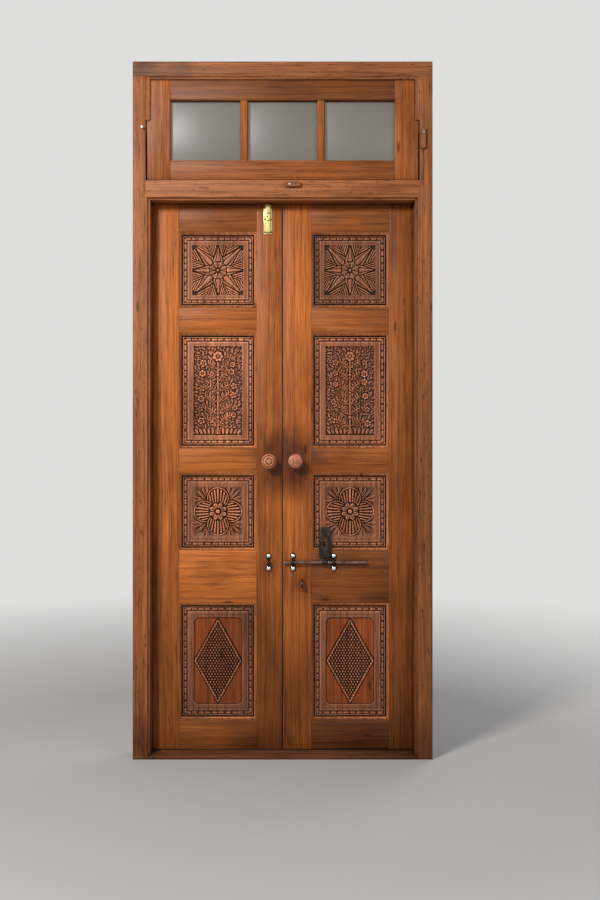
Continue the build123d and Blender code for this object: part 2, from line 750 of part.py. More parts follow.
def frame_groove(width, height, inset, groove_width):
    """Cut a groove round the panel's face at a distance from its edge."""
    with BuildSketch(Plane.XZ.offset(-PANEL_FRONT), mode=Mode.PRIVATE) as ring:
        Rectangle(width - 2 * inset, height - 2 * inset)
        Rectangle(
            width - 2 * inset - 2 * groove_width,
            height - 2 * inset - 2 * groove_width,
            mode=Mode.SUBTRACT,
        )
    extrude(ring.sketch, amount=-GROOVE_DEPTH, mode=Mode.SUBTRACT)


def panel_blank(height, field_width, field_height, corner=0.0):
    """The tongued board with its border grooves and sunk field."""
    half_width = PANEL_WIDTH / 2 - PANEL_CLEARANCE
    half_height = height / 2 - PANEL_CLEARANCE
    block(
        (-half_width, half_width),
        (PANEL_FRONT, PANEL_FRONT + PANEL_THICKNESS),
        (-half_height, half_height),
    )
    block(
        (-half_width - PANEL_TONGUE, half_width + PANEL_TONGUE),
        GROOVE,
        (-half_height - PANEL_TONGUE, half_height + PANEL_TONGUE),
    )
    frame_groove(PANEL_WIDTH, height, MOULDING_WIDTH, OUTER_GROOVE_WIDTH)
    frame_groove(PANEL_WIDTH, height, BORDER - INNER_GROOVE_WIDTH, INNER_GROOVE_WIDTH)
    with BuildSketch(FIELD_PLANE, mode=Mode.PRIVATE) as field:
        if corner:
            RectangleRounded(field_width, field_height, corner)
        else:
            Rectangle(field_width, field_height)
    extrude(field.sketch, amount=FIELD_DEPTH, mode=Mode.SUBTRACT)


def peak(points, apex, height, mode=Mode.ADD):
    """A faceted peak on the field's floor, over an outline and up to one point."""
    with BuildSketch(FIELD_PLANE, mode=Mode.PRIVATE) as outline:
        Polygon(*points, align=None)
    tip = FIELD_PLANE.from_local_coords(Vector(apex[0], apex[1], height))
    loft([outline.sketch.face(), Vertex(tip.X, tip.Y, tip.Z)], ruled=True, mode=mode)


def star_outline(tip_radii, notch_radius, centre=(0.0, 0.0), first_angle=0.0):
    """A star whose rays reach the given radii, with a notch between each two."""
    step = 360 / len(tip_radii)
    points = []
    for index, tip_radius in enumerate(tip_radii):
        points.append(polar(tip_radius, first_angle + index * step, centre))
        points.append(polar(notch_radius, first_angle + (index + 0.5) * step, centre))
    return points


def leaf_peak(base, length, width, angle, height):
    """A pointed leaf with a raised middle rib, from its base along an angle."""
    outline = [
        base,
        polar(width / 2, angle - 90, polar(length * 0.45, angle, base)),
        polar(length, angle, base),
        polar(width / 2, angle + 90, polar(length * 0.45, angle, base)),
    ]
    peak(outline, polar(length * 0.45, angle, base), height)


# Star: eight ridged rays, the diagonal ones longer, round a small flower, with hatched fans
# between their tips.
STAR_FIELD = 182.0
STAR_RAY = 84.0
STAR_DIAGONAL_RAY = 112.0
STAR_NOTCH = 42.0

with BuildPart() as star_panel:
    panel_blank(STAR_PANEL_HEIGHT, STAR_FIELD, STAR_FIELD)
    peak(star_outline([STAR_RAY, STAR_DIAGONAL_RAY] * 4, STAR_NOTCH), (0, 0), FIELD_DEPTH + 1)
    for index in range(8):
        fan_angle = (index + 0.5) * 45
        fan = [polar(54, fan_angle), polar(84, fan_angle - 13), polar(84, fan_angle + 13)]
        peak(fan, polar(76, fan_angle), FIELD_DEPTH / 2)

# Rosette: four fluted lobes round a flower of eight petals, with leaves in the corners.
ROSETTE_FIELD = 196.0
ROSETTE_LOBE_OFFSET = 54.0
ROSETTE_LOBE_RADIUS = 40.0
ROSETTE_FLUTES = 9
ROSETTE_RIM_SIDES = 12

with BuildPart() as rosette_panel:
    panel_blank(ROSETTE_PANEL_HEIGHT, ROSETTE_FIELD, ROSETTE_FIELD)
    for angle in (0, 90, 180, 270):
        lobe = polar(ROSETTE_LOBE_OFFSET, angle)
        with BuildSketch(FIELD_PLANE, mode=Mode.PRIVATE) as rim:
            with Locations(lobe):
                RegularPolygon(ROSETTE_LOBE_RADIUS, ROSETTE_RIM_SIDES)
        extrude(rim.sketch, amount=FIELD_DEPTH / 4)
        flute_tips = [ROSETTE_LOBE_RADIUS - 3] * ROSETTE_FLUTES
        flutes = star_outline(flute_tips, ROSETTE_LOBE_RADIUS - 9, lobe, angle)
        peak(flutes, polar(ROSETTE_LOBE_OFFSET - 12, angle), FIELD_DEPTH - 1)
    for angle in (45, 135, 225, 315):
        leaf_peak(polar(58, angle), 62, 34, angle, FIELD_DEPTH / 2)
    peak(star_outline([30] * 8, 24), (0, 0), FIELD_DEPTH + 4)
    with BuildSketch(FIELD_PLANE, mode=Mode.PRIVATE) as button:
        RegularPolygon(8, 12)
    extrude(button.sketch, amount=FIELD_DEPTH + 1.5)

# Flowering plant: a stem that rises from a mound, with paired leaves and blossoms.
FLORAL_FIELD_WIDTH = 188.0
FLORAL_FIELD_HEIGHT = 351.0
FLORAL_STEM = 7.0
FLORAL_TIERS = 6
FLORAL_BLOSSOM = 24.0

with BuildPart() as floral_panel:
    panel_blank(FLORAL_PANEL_HEIGHT, FLORAL_FIELD_WIDTH, FLORAL_FIELD_HEIGHT)
    foot = -FLORAL_FIELD_HEIGHT / 2
    tier_height = (FLORAL_FIELD_HEIGHT - 2 * FLORAL_BLOSSOM) / FLORAL_TIERS
    block(
        (-FLORAL_STEM / 2, FLORAL_STEM / 2),
        (FIELD_FLOOR - FIELD_DEPTH / 2, FIELD_FLOOR),
        (foot, -foot - 2 * FLORAL_BLOSSOM),
    )
    for side in (-1, 1):
        upright = 90 - 90 * side
        for tier in range(FLORAL_TIERS):
            node = (side * FLORAL_STEM / 2, foot + (tier + 0.25) * tier_height)
            leaf_peak(node, 62, 20, upright + side * 38, FIELD_DEPTH - 1)
            leaf_peak((side * 38, node[1] + 8), 48, 17, upright - side * 12, FIELD_DEPTH - 2)
            if tier % 2:
                centre = (side * (FLORAL_FIELD_WIDTH / 2 - FLORAL_BLOSSOM), node[1] + tier_height * 0.72)
                peak(star_outline([FLORAL_BLOSSOM - 3] * 6, 13, centre, 30), centre, FIELD_DEPTH)
    crown = (0, -foot - FLORAL_BLOSSOM * 1.4)
    peak(star_outline([FLORAL_BLOSSOM + 4] * 8, 17, crown), crown, FIELD_DEPTH + 1)

# Lattice: a raised diamond that is cut by crossing grooves into small lozenges.
LATTICE_FIELD_WIDTH = 193.0
LATTICE_FIELD_HEIGHT = 343.0
LATTICE_WIDTH = 186.0
LATTICE_HEIGHT = 328.0
LATTICE_CELLS = 8
LATTICE_CORNER = 24.0
LATTICE_RISE = 8.0
LATTICE_VALLEY = 3.0

half_width, half_height = LATTICE_WIDTH / 2, LATTICE_HEIGHT / 2

with BuildPart() as diamond:
    corners = [(0, -half_height), (half_width, 0), (0, half_height), (-half_width, 0)]
    prism(corners, FIELD_PLANE, LATTICE_RISE)
    for slope in (-1, 1):
        along = Vector(half_width, 0, slope * half_height).normalized()
        across = along.cross(Vector(0, 1, 0))
        span = 2 * half_width * abs(across.X)
        pitch = span / LATTICE_CELLS
        ridges = [(-span / 2 - 1, 0), (span / 2 + 1, 0), (span / 2 + 1, LATTICE_VALLEY)]
        for index in reversed(range(LATTICE_CELLS)):
            start = index * pitch - span / 2
            ridges += [(start + pitch, LATTICE_VALLEY), (start + pitch / 2, LATTICE_RISE)]
        ridges += [(-span / 2, LATTICE_VALLEY), (-span / 2 - 1, LATTICE_VALLEY)]
        ridge_start = Vector(0, FIELD_FLOOR, 0) - along * LATTICE_HEIGHT
        ridge_plane = Plane(ridge_start, x_dir=across, z_dir=along)
        prism(ridges, ridge_plane, 2 * LATTICE_HEIGHT, Mode.INTERSECT)

with BuildPart() as lattice_panel:
    panel_blank(LATTICE_PANEL_HEIGHT, LATTICE_FIELD_WIDTH, LATTICE_FIELD_HEIGHT, LATTICE_CORNER)
    add(diamond.part)

PANELS = {
    "star": star_panel.part,
    "floral": floral_panel.part,
    "rosette": rosette_panel.part,
    "lattice": lattice_panel.part,
}

for leaf, (side, meeting_stile) in LEAVES.items():
    inner, outer = panel_sides(side, meeting_stile)
    for motif, panel in PANELS.items():
        bottom, top = OPENINGS[motif]
        placed = panel.moved(Location(((inner + outer) / 2, 0, (bottom + top) / 2)))
        save(placed, f"{leaf}_{motif}_panel")

# Butt hinges: the jamb's flap has the outer knuckles and the pin that is fixed in them, and the
# leaf's flap the knuckle that turns on the pin.
HINGE_X = (LEAF_EDGE + REBATE_EDGE) / 2
HINGE_Y = BACK + HINGE_PIN_STANDOFF
KNUCKLE_PITCH = HINGE_LENGTH / HINGE_KNUCKLE_COUNT


def hinge_flap(side, edge, height, first_knuckle):
    """One flap at a hinge height, with every second knuckle from the first one up."""
    outward = 1 if edge < HINGE_X else -1
    flap = (side * edge, side * (edge + outward * HINGE_FLAP_THICKNESS))
    block(flap, (BACK - HINGE_FLAP_DEPTH, BACK), (height, height + HINGE_LENGTH))
    for knuckle in range(first_knuckle, HINGE_KNUCKLE_COUNT, 2):
        low = height + knuckle * KNUCKLE_PITCH + HINGE_KNUCKLE_GAP / 2
        length = KNUCKLE_PITCH - HINGE_KNUCKLE_GAP
        block(flap, (BACK, HINGE_Y), (low, low + length))
        small_rod((side * HINGE_X, HINGE_Y, low), (0, 0, 1), HINGE_KNUCKLE_RADIUS, length)


with BuildPart() as hinge_frame_flaps:
    for side in (-1, 1):
        for height in HINGE_HEIGHTS:
            hinge_flap(side, REBATE_EDGE, height, 0)
            pin_start = (side * HINGE_X, HINGE_Y, height + HINGE_KNUCKLE_GAP)
            pin_length = HINGE_LENGTH - 2 * HINGE_KNUCKLE_GAP
            small_rod(pin_start, (0, 0, 1), HINGE_PIN_RADIUS, pin_length)
save(hinge_frame_flaps.part, "hinge_frame_flaps")

for leaf, (side, _) in LEAVES.items():
    with BuildPart() as leaf_flaps:
        for height in HINGE_HEIGHTS:
            hinge_flap(side, LEAF_EDGE, height, 1)
            hole_start = (side * HINGE_X, HINGE_Y, height)
            hole_radius = HINGE_PIN_RADIUS + RUNNING_FIT
            rod(hole_start, (0, 0, 1), hole_radius, HINGE_LENGTH, Mode.SUBTRACT)
    save(leaf_flaps.part, f"{leaf}_hinge_flaps")

# Turned wooden knobs, as shares of their length and of their radius
KNOB_SIDES = 16
KNOB_PROFILE = (
    (0.0, 0.50),
    (0.08, 0.60),
    (0.16, 0.45),
    (0.34, 0.42),
    (0.50, 0.80),
    (0.68, 1.00),
    (0.84, 0.93),
    (1.0, 0.55),
)


for leaf, x in (("left", LEFT_KNOB_X), ("right", RIGHT_KNOB_X)):
    with BuildPart() as knob:
        levels = [(share * KNOB_LENGTH, radius * KNOB_RADIUS) for share, radius in KNOB_PROFILE]
        faceted_turning(Plane((x, LEAF_FRONT, KNOB_HEIGHT), z_dir=(0, -1, 0)), levels, KNOB_SIDES)
    save(knob.part, f"{leaf}_knob")

# Sliding latch: the rod runs in three straps. It is drawn back to the right here, clear of the
# left leaf, and the hasp is thrown up against the leaf.
LATCH_Y = LEAF_FRONT - LATCH_ROD_STANDOFF
LATCH_TIP_X = LATCH_TIP_CLEARANCE
HASP_OPEN_X = HASP_X + LATCH_TRAVEL
COLLAR_OFFSET = HASP_EYE_WIDTH / 2 + HASP_EYE_GAP

with BuildPart() as latch_rod:
    rod((LATCH_TIP_X, LATCH_Y, LATCH_HEIGHT), (1, 0, 0), LATCH_ROD_RADIUS, LATCH_ROD_LENGTH)
    for start in (-COLLAR_OFFSET - LATCH_COLLAR_WIDTH, COLLAR_OFFSET):
        small_rod(
            (HASP_OPEN_X + start, LATCH_Y, LATCH_HEIGHT),
            (1, 0, 0),
            LATCH_COLLAR_RADIUS,
            LATCH_COLLAR_WIDTH,
        )
save(latch_rod.part, "latch_rod")


def latch_strap(x):
    """A strap that bows over the rod, with a flat foot above and below."""
    outer = LATCH_ROD_RADIUS + RUNNING_FIT + LATCH_STRAP_THICKNESS
    inner = LATCH_ROD_RADIUS + RUNNING_FIT
    limits = (x - LATCH_STRAP_WIDTH / 2, x + LATCH_STRAP_WIDTH / 2)
    block(
        limits,
        (LEAF_FRONT - LATCH_STRAP_THICKNESS, LEAF_FRONT),
        (LATCH_HEIGHT - LATCH_STRAP_HALF_HEIGHT, LATCH_HEIGHT + LATCH_STRAP_HALF_HEIGHT),
    )
    block(limits, (LATCH_Y, LEAF_FRONT), (LATCH_HEIGHT - outer, LATCH_HEIGHT + outer))
    small_rod((limits[0], LATCH_Y, LATCH_HEIGHT), (1, 0, 0), outer, LATCH_STRAP_WIDTH)
    block(limits, (LATCH_Y, LEAF_FRONT), (LATCH_HEIGHT - inner, LATCH_HEIGHT + inner), Mode.SUBTRACT)
    rod((limits[0], LATCH_Y, LATCH_HEIGHT), (1, 0, 0), inner, LATCH_STRAP_WIDTH, Mode.SUBTRACT)


# The dome of a stud, as shares of its height and of its radius
STUD_PROFILE = ((0.0, 1.0), (0.35, 0.95), (0.8, 0.6), (1.0, 0.2))


def strap_studs(x):
    """The domed studs that hold a strap's two feet."""
    levels = [(share * STUD_HEIGHT, radius * STUD_RADIUS) for share, radius in STUD_PROFILE]
    for offset in (-STUD_OFFSET, STUD_OFFSET):
        foot = (x, LEAF_FRONT - LATCH_STRAP_THICKNESS, LATCH_HEIGHT + offset)
        faceted_turning(Plane(foot, z_dir=(0, -1, 0)), levels, STUD_SIDES)


STRAPS = {
    "left": (LEFT_STRAP_X,),
    "right": (MIDDLE_STRAP_X, END_STRAP_X),
}

for leaf, strap_places in STRAPS.items():
    with BuildPart() as straps:
        for x in strap_places:
            latch_strap(x)
    save(straps.part, f"{leaf}_latch_straps")
    with BuildPart() as studs:
        for x in strap_places:
            strap_studs(x)
    save(studs.part, f"{leaf}_latch_studs")

# Hasp: an eye on the rod and a round-ended plate with a slot, drawn on a plane that runs from
# the rod up the leaf and leans back on it.
hasp_up = Vector(0, math.sin(math.radians(HASP_LEAN)), math.cos(math.radians(HASP_LEAN)))
hasp_plane = Plane(
    (HASP_OPEN_X, LATCH_Y, LATCH_HEIGHT),
    x_dir=(1, 0, 0),
    z_dir=Vector(1, 0, 0).cross(hasp_up),
)

with BuildPart() as hasp:
    with BuildSketch(hasp_plane.offset(-HASP_THICKNESS / 2)):
        shoulder = LATCH_ROD_RADIUS + LATCH_STRAP_THICKNESS + HASP_THICKNESS
        with BuildLine():
            Polyline(
                (HASP_EYE_WIDTH / 2, 0),
                (HASP_EYE_WIDTH / 2, shoulder),
                (HASP_WIDTH / 2, shoulder + HASP_SHOULDER),
                (HASP_WIDTH / 2, HASP_REACH - HASP_WIDTH / 2),
            )
            ThreePointArc(
                (HASP_WIDTH / 2, HASP_REACH - HASP_WIDTH / 2),
                (0, HASP_REACH),
                (-HASP_WIDTH / 2, HASP_REACH - HASP_WIDTH / 2),
            )
            Polyline(
                (-HASP_WIDTH / 2, HASP_REACH - HASP_WIDTH / 2),
                (-HASP_WIDTH / 2, shoulder + HASP_SHOULDER),
                (-HASP_EYE_WIDTH / 2, shoulder),
                (-HASP_EYE_WIDTH / 2, 0),
                (HASP_EYE_WIDTH / 2, 0),
            )
        make_face()
        with Locations((0, HASP_SLOT_DROP)):
            SlotOverall(HASP_SLOT_LENGTH, HASP_SLOT_WIDTH, rotation=90, mode=Mode.SUBTRACT)
    extrude(amount=HASP_THICKNESS)
    eye_start = (HASP_OPEN_X - HASP_EYE_WIDTH / 2, LATCH_Y, LATCH_HEIGHT)
    small_rod(eye_start, (1, 0, 0), LATCH_ROD_RADIUS + LATCH_STRAP_THICKNESS, HASP_EYE_WIDTH)
    rod(eye_start, (1, 0, 0), LATCH_ROD_RADIUS + RUNNING_FIT, HASP_EYE_WIDTH, Mode.SUBTRACT)
save(hasp.part, "hasp")

# Staple for a padlock, below the rod where the hasp drops when the latch is shot: a bar bent
# into a loop whose feet meet the leaf
STAPLE_Z = LATCH_HEIGHT - HASP_SLOT_DROP
STAPLE_NOSE = LEAF_FRONT - STAPLE_STANDOFF + STAPLE_EYE + STAPLE_BAR

with BuildPart() as padlock_staple:
    staple_plane = Plane((HASP_X - STAPLE_BAR / 2, 0, STAPLE_Z), x_dir=(0, 1, 0), z_dir=(1, 0, 0))
    with BuildSketch(staple_plane):
        for radius, mode in ((STAPLE_EYE + STAPLE_BAR, Mode.ADD), (STAPLE_EYE, Mode.SUBTRACT)):
            with Locations((STAPLE_NOSE, 0)):
                RegularPolygon(radius, STAPLE_SIDES, rotation=180 / STAPLE_SIDES, mode=mode)
            with Locations(((STAPLE_NOSE + LEAF_FRONT) / 2, 0)):
                flats = 2 * radius * math.cos(math.pi / STAPLE_SIDES)
                Rectangle(LEAF_FRONT - STAPLE_NOSE, flats, mode=mode)
        with Locations((LEAF_FRONT + STAPLE_STANDOFF / 2, 0)):
            Rectangle(STAPLE_STANDOFF, 2 * STAPLE_STANDOFF, mode=Mode.SUBTRACT)
    extrude(amount=STAPLE_BAR)
save(padlock_staple.part, "padlock_staple")

# Tower bolt: a plate with a bored case and an L-shaped slot, and the bolt with its knob. The
# bolt is down here, clear of the transom bar.
TOWER_BOLT_TOP = STOP_SOFFIT - TOWER_BOLT_TOP_GAP
TOWER_BOLT_BOTTOM = TOWER_BOLT_TOP - TOWER_BOLT_LENGTH
TOWER_BOLT_KNOB_Z = TOWER_BOLT_TOP - TOWER_BOLT_ROD_LENGTH + TOWER_BOLT_KNOB_RISE
CASE_FRONT = LEAF_FRONT - TOWER_BOLT_PLATE - TOWER_BOLT_CASE_DEPTH

with BuildPart() as tower_bolt_plate:
    plate_limits = (TOWER_BOLT_X - TOWER_BOLT_WIDTH / 2, TOWER_BOLT_X + TOWER_BOLT_WIDTH / 2)
    block(
        plate_limits,
        (LEAF_FRONT - TOWER_BOLT_PLATE, LEAF_FRONT),
        (TOWER_BOLT_BOTTOM, TOWER_BOLT_TOP),
    )
    block(
        (TOWER_BOLT_X - TOWER_BOLT_CASE_WIDTH / 2, TOWER_BOLT_X + TOWER_BOLT_CASE_WIDTH / 2),
        (CASE_FRONT, LEAF_FRONT - TOWER_BOLT_PLATE),
        (TOWER_BOLT_BOTTOM + TOWER_BOLT_FOOT, TOWER_BOLT_TOP),
    )
    rod(
        (TOWER_BOLT_X, TOWER_BOLT_Y, TOWER_BOLT_TOP - TOWER_BOLT_ROD_LENGTH - 1),
        (0, 0, 1),
        TOWER_BOLT_ROD_RADIUS + RUNNING_FIT,
        TOWER_BOLT_ROD_LENGTH + 2,
        Mode.SUBTRACT,
    )
    slot_half = TOWER_BOLT_STEM_RADIUS + TOWER_BOLT_SLOT_CLEARANCE
    slot_top = TOWER_BOLT_KNOB_Z + TOWER_BOLT_TRAVEL + slot_half
    block(
        (TOWER_BOLT_X - slot_half, TOWER_BOLT_X + slot_half),
        (CASE_FRONT, TOWER_BOLT_Y),
        (TOWER_BOLT_KNOB_Z - slot_half, slot_top),
        Mode.SUBTRACT,
    )
    block(
        (TOWER_BOLT_X, TOWER_BOLT_X + TOWER_BOLT_CASE_WIDTH / 2),
        (CASE_FRONT, TOWER_BOLT_Y),
        (slot_top - 2 * slot_half, slot_top),
        Mode.SUBTRACT,
    )
save(tower_bolt_plate.part, "tower_bolt_plate")

with BuildPart() as tower_bolt:
    rod(
        (TOWER_BOLT_X, TOWER_BOLT_Y, TOWER_BOLT_TOP - TOWER_BOLT_ROD_LENGTH),
        (0, 0, 1),
        TOWER_BOLT_ROD_RADIUS,
        TOWER_BOLT_ROD_LENGTH,
    )
    stem_base = (TOWER_BOLT_X, TOWER_BOLT_Y, TOWER_BOLT_KNOB_Z)
    stem_length = TOWER_BOLT_Y - CASE_FRONT + TOWER_BOLT_STEM_REACH
    small_rod(stem_base, (0, -1, 0), TOWER_BOLT_STEM_RADIUS, stem_length)
    knob_base = (TOWER_BOLT_X, TOWER_BOLT_Y - stem_length, TOWER_BOLT_KNOB_Z)
    small_rod(knob_base, (0, -1, 0), TOWER_BOLT_KNOB_RADIUS, TOWER_BOLT_KNOB_RADIUS)
save(tower_bolt.part, "tower_bolt")
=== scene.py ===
# %% [markdown]
# # A carved double door, dressed for its picture
# The joinery of the door is already modelled as solids: a frame, two leaves, a fanlight sash
# and their ironwork. Here each solid gets its finish, and the pieces whose beauty is in fine
# detail, such as the carved panels, are made again as dense meshes in the same places.
#
# Everything could be modelled again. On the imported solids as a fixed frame, sizes and joints
# stay right, and every new piece is placed by the node it belongs to.

# %% Load the frame
import json
import math
import random

import bmesh
import bpy
import numpy as np
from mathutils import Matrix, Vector

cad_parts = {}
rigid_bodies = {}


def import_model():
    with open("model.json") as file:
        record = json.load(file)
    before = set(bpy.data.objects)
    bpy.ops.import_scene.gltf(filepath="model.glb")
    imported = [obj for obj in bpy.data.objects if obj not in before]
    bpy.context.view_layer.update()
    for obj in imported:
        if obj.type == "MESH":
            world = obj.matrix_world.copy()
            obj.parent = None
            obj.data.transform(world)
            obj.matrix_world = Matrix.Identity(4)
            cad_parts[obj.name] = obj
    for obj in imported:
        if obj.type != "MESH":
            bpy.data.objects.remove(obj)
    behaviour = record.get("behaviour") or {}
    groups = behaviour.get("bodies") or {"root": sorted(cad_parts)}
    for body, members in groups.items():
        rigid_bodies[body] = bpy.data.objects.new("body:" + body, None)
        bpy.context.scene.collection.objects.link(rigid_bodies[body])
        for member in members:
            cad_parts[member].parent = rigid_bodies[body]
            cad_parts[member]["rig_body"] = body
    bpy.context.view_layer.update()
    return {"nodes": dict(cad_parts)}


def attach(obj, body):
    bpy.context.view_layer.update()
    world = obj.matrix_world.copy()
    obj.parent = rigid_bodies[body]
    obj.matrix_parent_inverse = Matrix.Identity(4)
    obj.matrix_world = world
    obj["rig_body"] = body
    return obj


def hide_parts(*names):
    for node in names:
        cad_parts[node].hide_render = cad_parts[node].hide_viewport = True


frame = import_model()

# %% [markdown]
# ## Camera
# The photograph looks straight at the door from about four metres, from a little left of the
# middle and below mid-height. A camera could be turned towards the door, but then its upright
# lines would lean. Keeping it level and shifting the lens is how such doors are really taken.

# %% Camera
CAMERA_PLACE = (-0.01, -4.055, 1.263)
LENS = 41.74
LENS_SHIFT = (0.0222, -0.0222)


def placed(name, data):
    """A new object that stands in the scene."""
    made = bpy.data.objects.new(name, data)
    bpy.context.scene.collection.objects.link(made)
    return made


camera = placed("camera", bpy.data.cameras.new("camera"))
camera.location = CAMERA_PLACE
camera.rotation_euler = (math.radians(90), 0, 0)
camera.data.lens = LENS
camera.data.shift_x, camera.data.shift_y = LENS_SHIFT
bpy.context.scene.camera = camera
print("camera at", CAMERA_PLACE)

# %% [markdown]
# ## Wiring materials
# A material is a small graph of nodes. It could be wired by hand in the editor. In a script,
# a helper for each kind of step keeps the graph readable.


# %% Helpers that make and link shader nodes
def wire(tree, kind, inputs=None, **settings):
    """Make a node from plain values and earlier outputs, and hand back its own outputs."""
    node = tree.nodes.new("ShaderNode" + kind)
    for setting, value in settings.items():
        setattr(node, setting, value)
    for name, value in (inputs or {}).items():
        if isinstance(value, bpy.types.NodeSocket):
            tree.links.new(value, node.inputs[name])
        else:
            node.inputs[name].default_value = value
    return node.outputs


def ramp(tree, factor, stops):
    """A colour ramp through stops of a position and a colour."""
    colour = wire(tree, "ValToRGB", {"Fac": factor})["Color"]
    elements = colour.node.color_ramp.elements
    while len(elements) < len(stops):
        elements.new(0.5)
    for element, (position, stop) in zip(elements, stops):
        element.position = position
        element.color = (*stop, 1)
    return colour


def tinted(tree, strength, colour, tint):
    """A colour multiplied by a tint, more or less strongly."""
    chosen = {0: strength, 6: colour, 7: tint}
    return wire(tree, "Mix", chosen, data_type="RGBA", blend_type="MULTIPLY")[2]


def shaded(tree, strength, colour, factor, stops):
    """A colour multiplied by a ramp."""
    return tinted(tree, strength, colour, ramp(tree, factor, stops))


def math_node(tree, operation, *numbers):
    """The result of a sum. MULTIPLY_ADD multiplies two numbers and adds the third."""
    return wire(tree, "Math", dict(enumerate(numbers)), operation=operation)[0]


def remap(tree, value, low, high, to_low=0, to_high=1):
    """Carry a number from one span over to another, and stop at its ends."""
    spans = {"From Min": low, "From Max": high, "To Min": to_low, "To Max": to_high}
    return wire(tree, "MapRange", {"Value": value, **spans})["Result"]


def carried(tree, name):
    """The number that each point of a mesh carries under a name."""
    return wire(tree, "Attribute", attribute_name=name)["Fac"]


def new_material(name, **surface):
    """A material with its shader's plain values set, and its tree and shader."""
    material = bpy.data.materials.new(name)
    material.use_nodes = True
    shader = material.node_tree.nodes["Principled BSDF"]
    for socket, value in surface.items():
        shader.inputs[socket.replace("_", " ").title().replace("Ior", "IOR")].default_value = value
    return material, material.node_tree, shader


# %% [markdown]
# ## Varnished teak
# Old oiled teak has fine dark pores drawn out along the grain, broad streaks, and a varnish
# that has turned orange where it is thin and brown where it is thick. A photograph of a board
# could be wrapped round each piece, but rails and stiles run in two directions.
#
# Instead every board carries its own grain coordinates: how far a point is along the grain and
# across it, with an offset that differs from board to board. One material then serves them
# all, and no two boards match.


# %% Grain, stains, painted shadows and painted shade in corners
WHITE = (1, 1, 1)
SPOT_TINT = (0.3, 0.24, 0.2, 1)
SPOT_EDGE = 0.06
RAGGED = 0.12


def stretched(tree, grain, scales):
    """Grain coordinates with so many repeats a metre along, across and through."""
    return wire(tree, "Mapping", {"Vector": grain, "Scale": scales})["Vector"]


def drawn_noise(tree, grain, scales, detail, roughness=0.6, distortion=0):
    """Noise that is drawn out along the grain."""
    place = stretched(tree, grain, scales)
    settings = {"Detail": detail, "Roughness": roughness, "Distortion": distortion, "Scale": 1}
    return wire(tree, "TexNoise", {"Vector": place, **settings})["Fac"]


def grey(tree, brightness):
    """A grey as bright as a number."""
    return wire(tree, "CombineColor", dict.fromkeys(range(3), brightness))["Color"]


def darkened_in_spots(tree, colour, place, ragged, spots):
    """Darken a colour round spots of an x, a z, a radius and a strength."""
    # Some spots are real stains and some paint shadow or shade; the spot tables say which.
    for x, z, radius, strength in spots:
        distance = wire(tree, "VectorMath", {0: place, 1: (x, 0, z)}, operation="DISTANCE")
        reach = math_node(tree, "MULTIPLY_ADD", ragged, RAGGED, distance["Value"])
        closeness = remap(tree, reach, radius + SPOT_EDGE, SPOT_EDGE, 0, strength)
        colour = tinted(tree, closeness, colour, SPOT_TINT)
    return colour


def corner_shaded(tree, colour, reach, start, shade_colour):
    """Paint shade into a colour in the corners that are closed in within a reach."""
    openness = wire(tree, "AmbientOcclusion", {"Distance": reach}, samples=6)["AO"]
    return shaded(tree, 0.9, colour, openness, [(start, shade_colour), (0.85, WHITE)])


def dress(tree, shader, colour, roughness, height, strength, distance):
    """Give a shader its colour, its roughness and its fine relief."""
    bump = wire(tree, "Bump", {"Height": height, "Strength": strength, "Distance": distance})
    looks = {"Base Color": colour, "Roughness": roughness, "Normal": bump["Normal"]}
    for socket, value in looks.items():
        tree.links.new(value, shader.inputs[socket])


# %% The wood material
DARKENING_HEIGHT = 0.9
WARM = [(0, WHITE), (1, (1.5, 0.95, 0.42))]


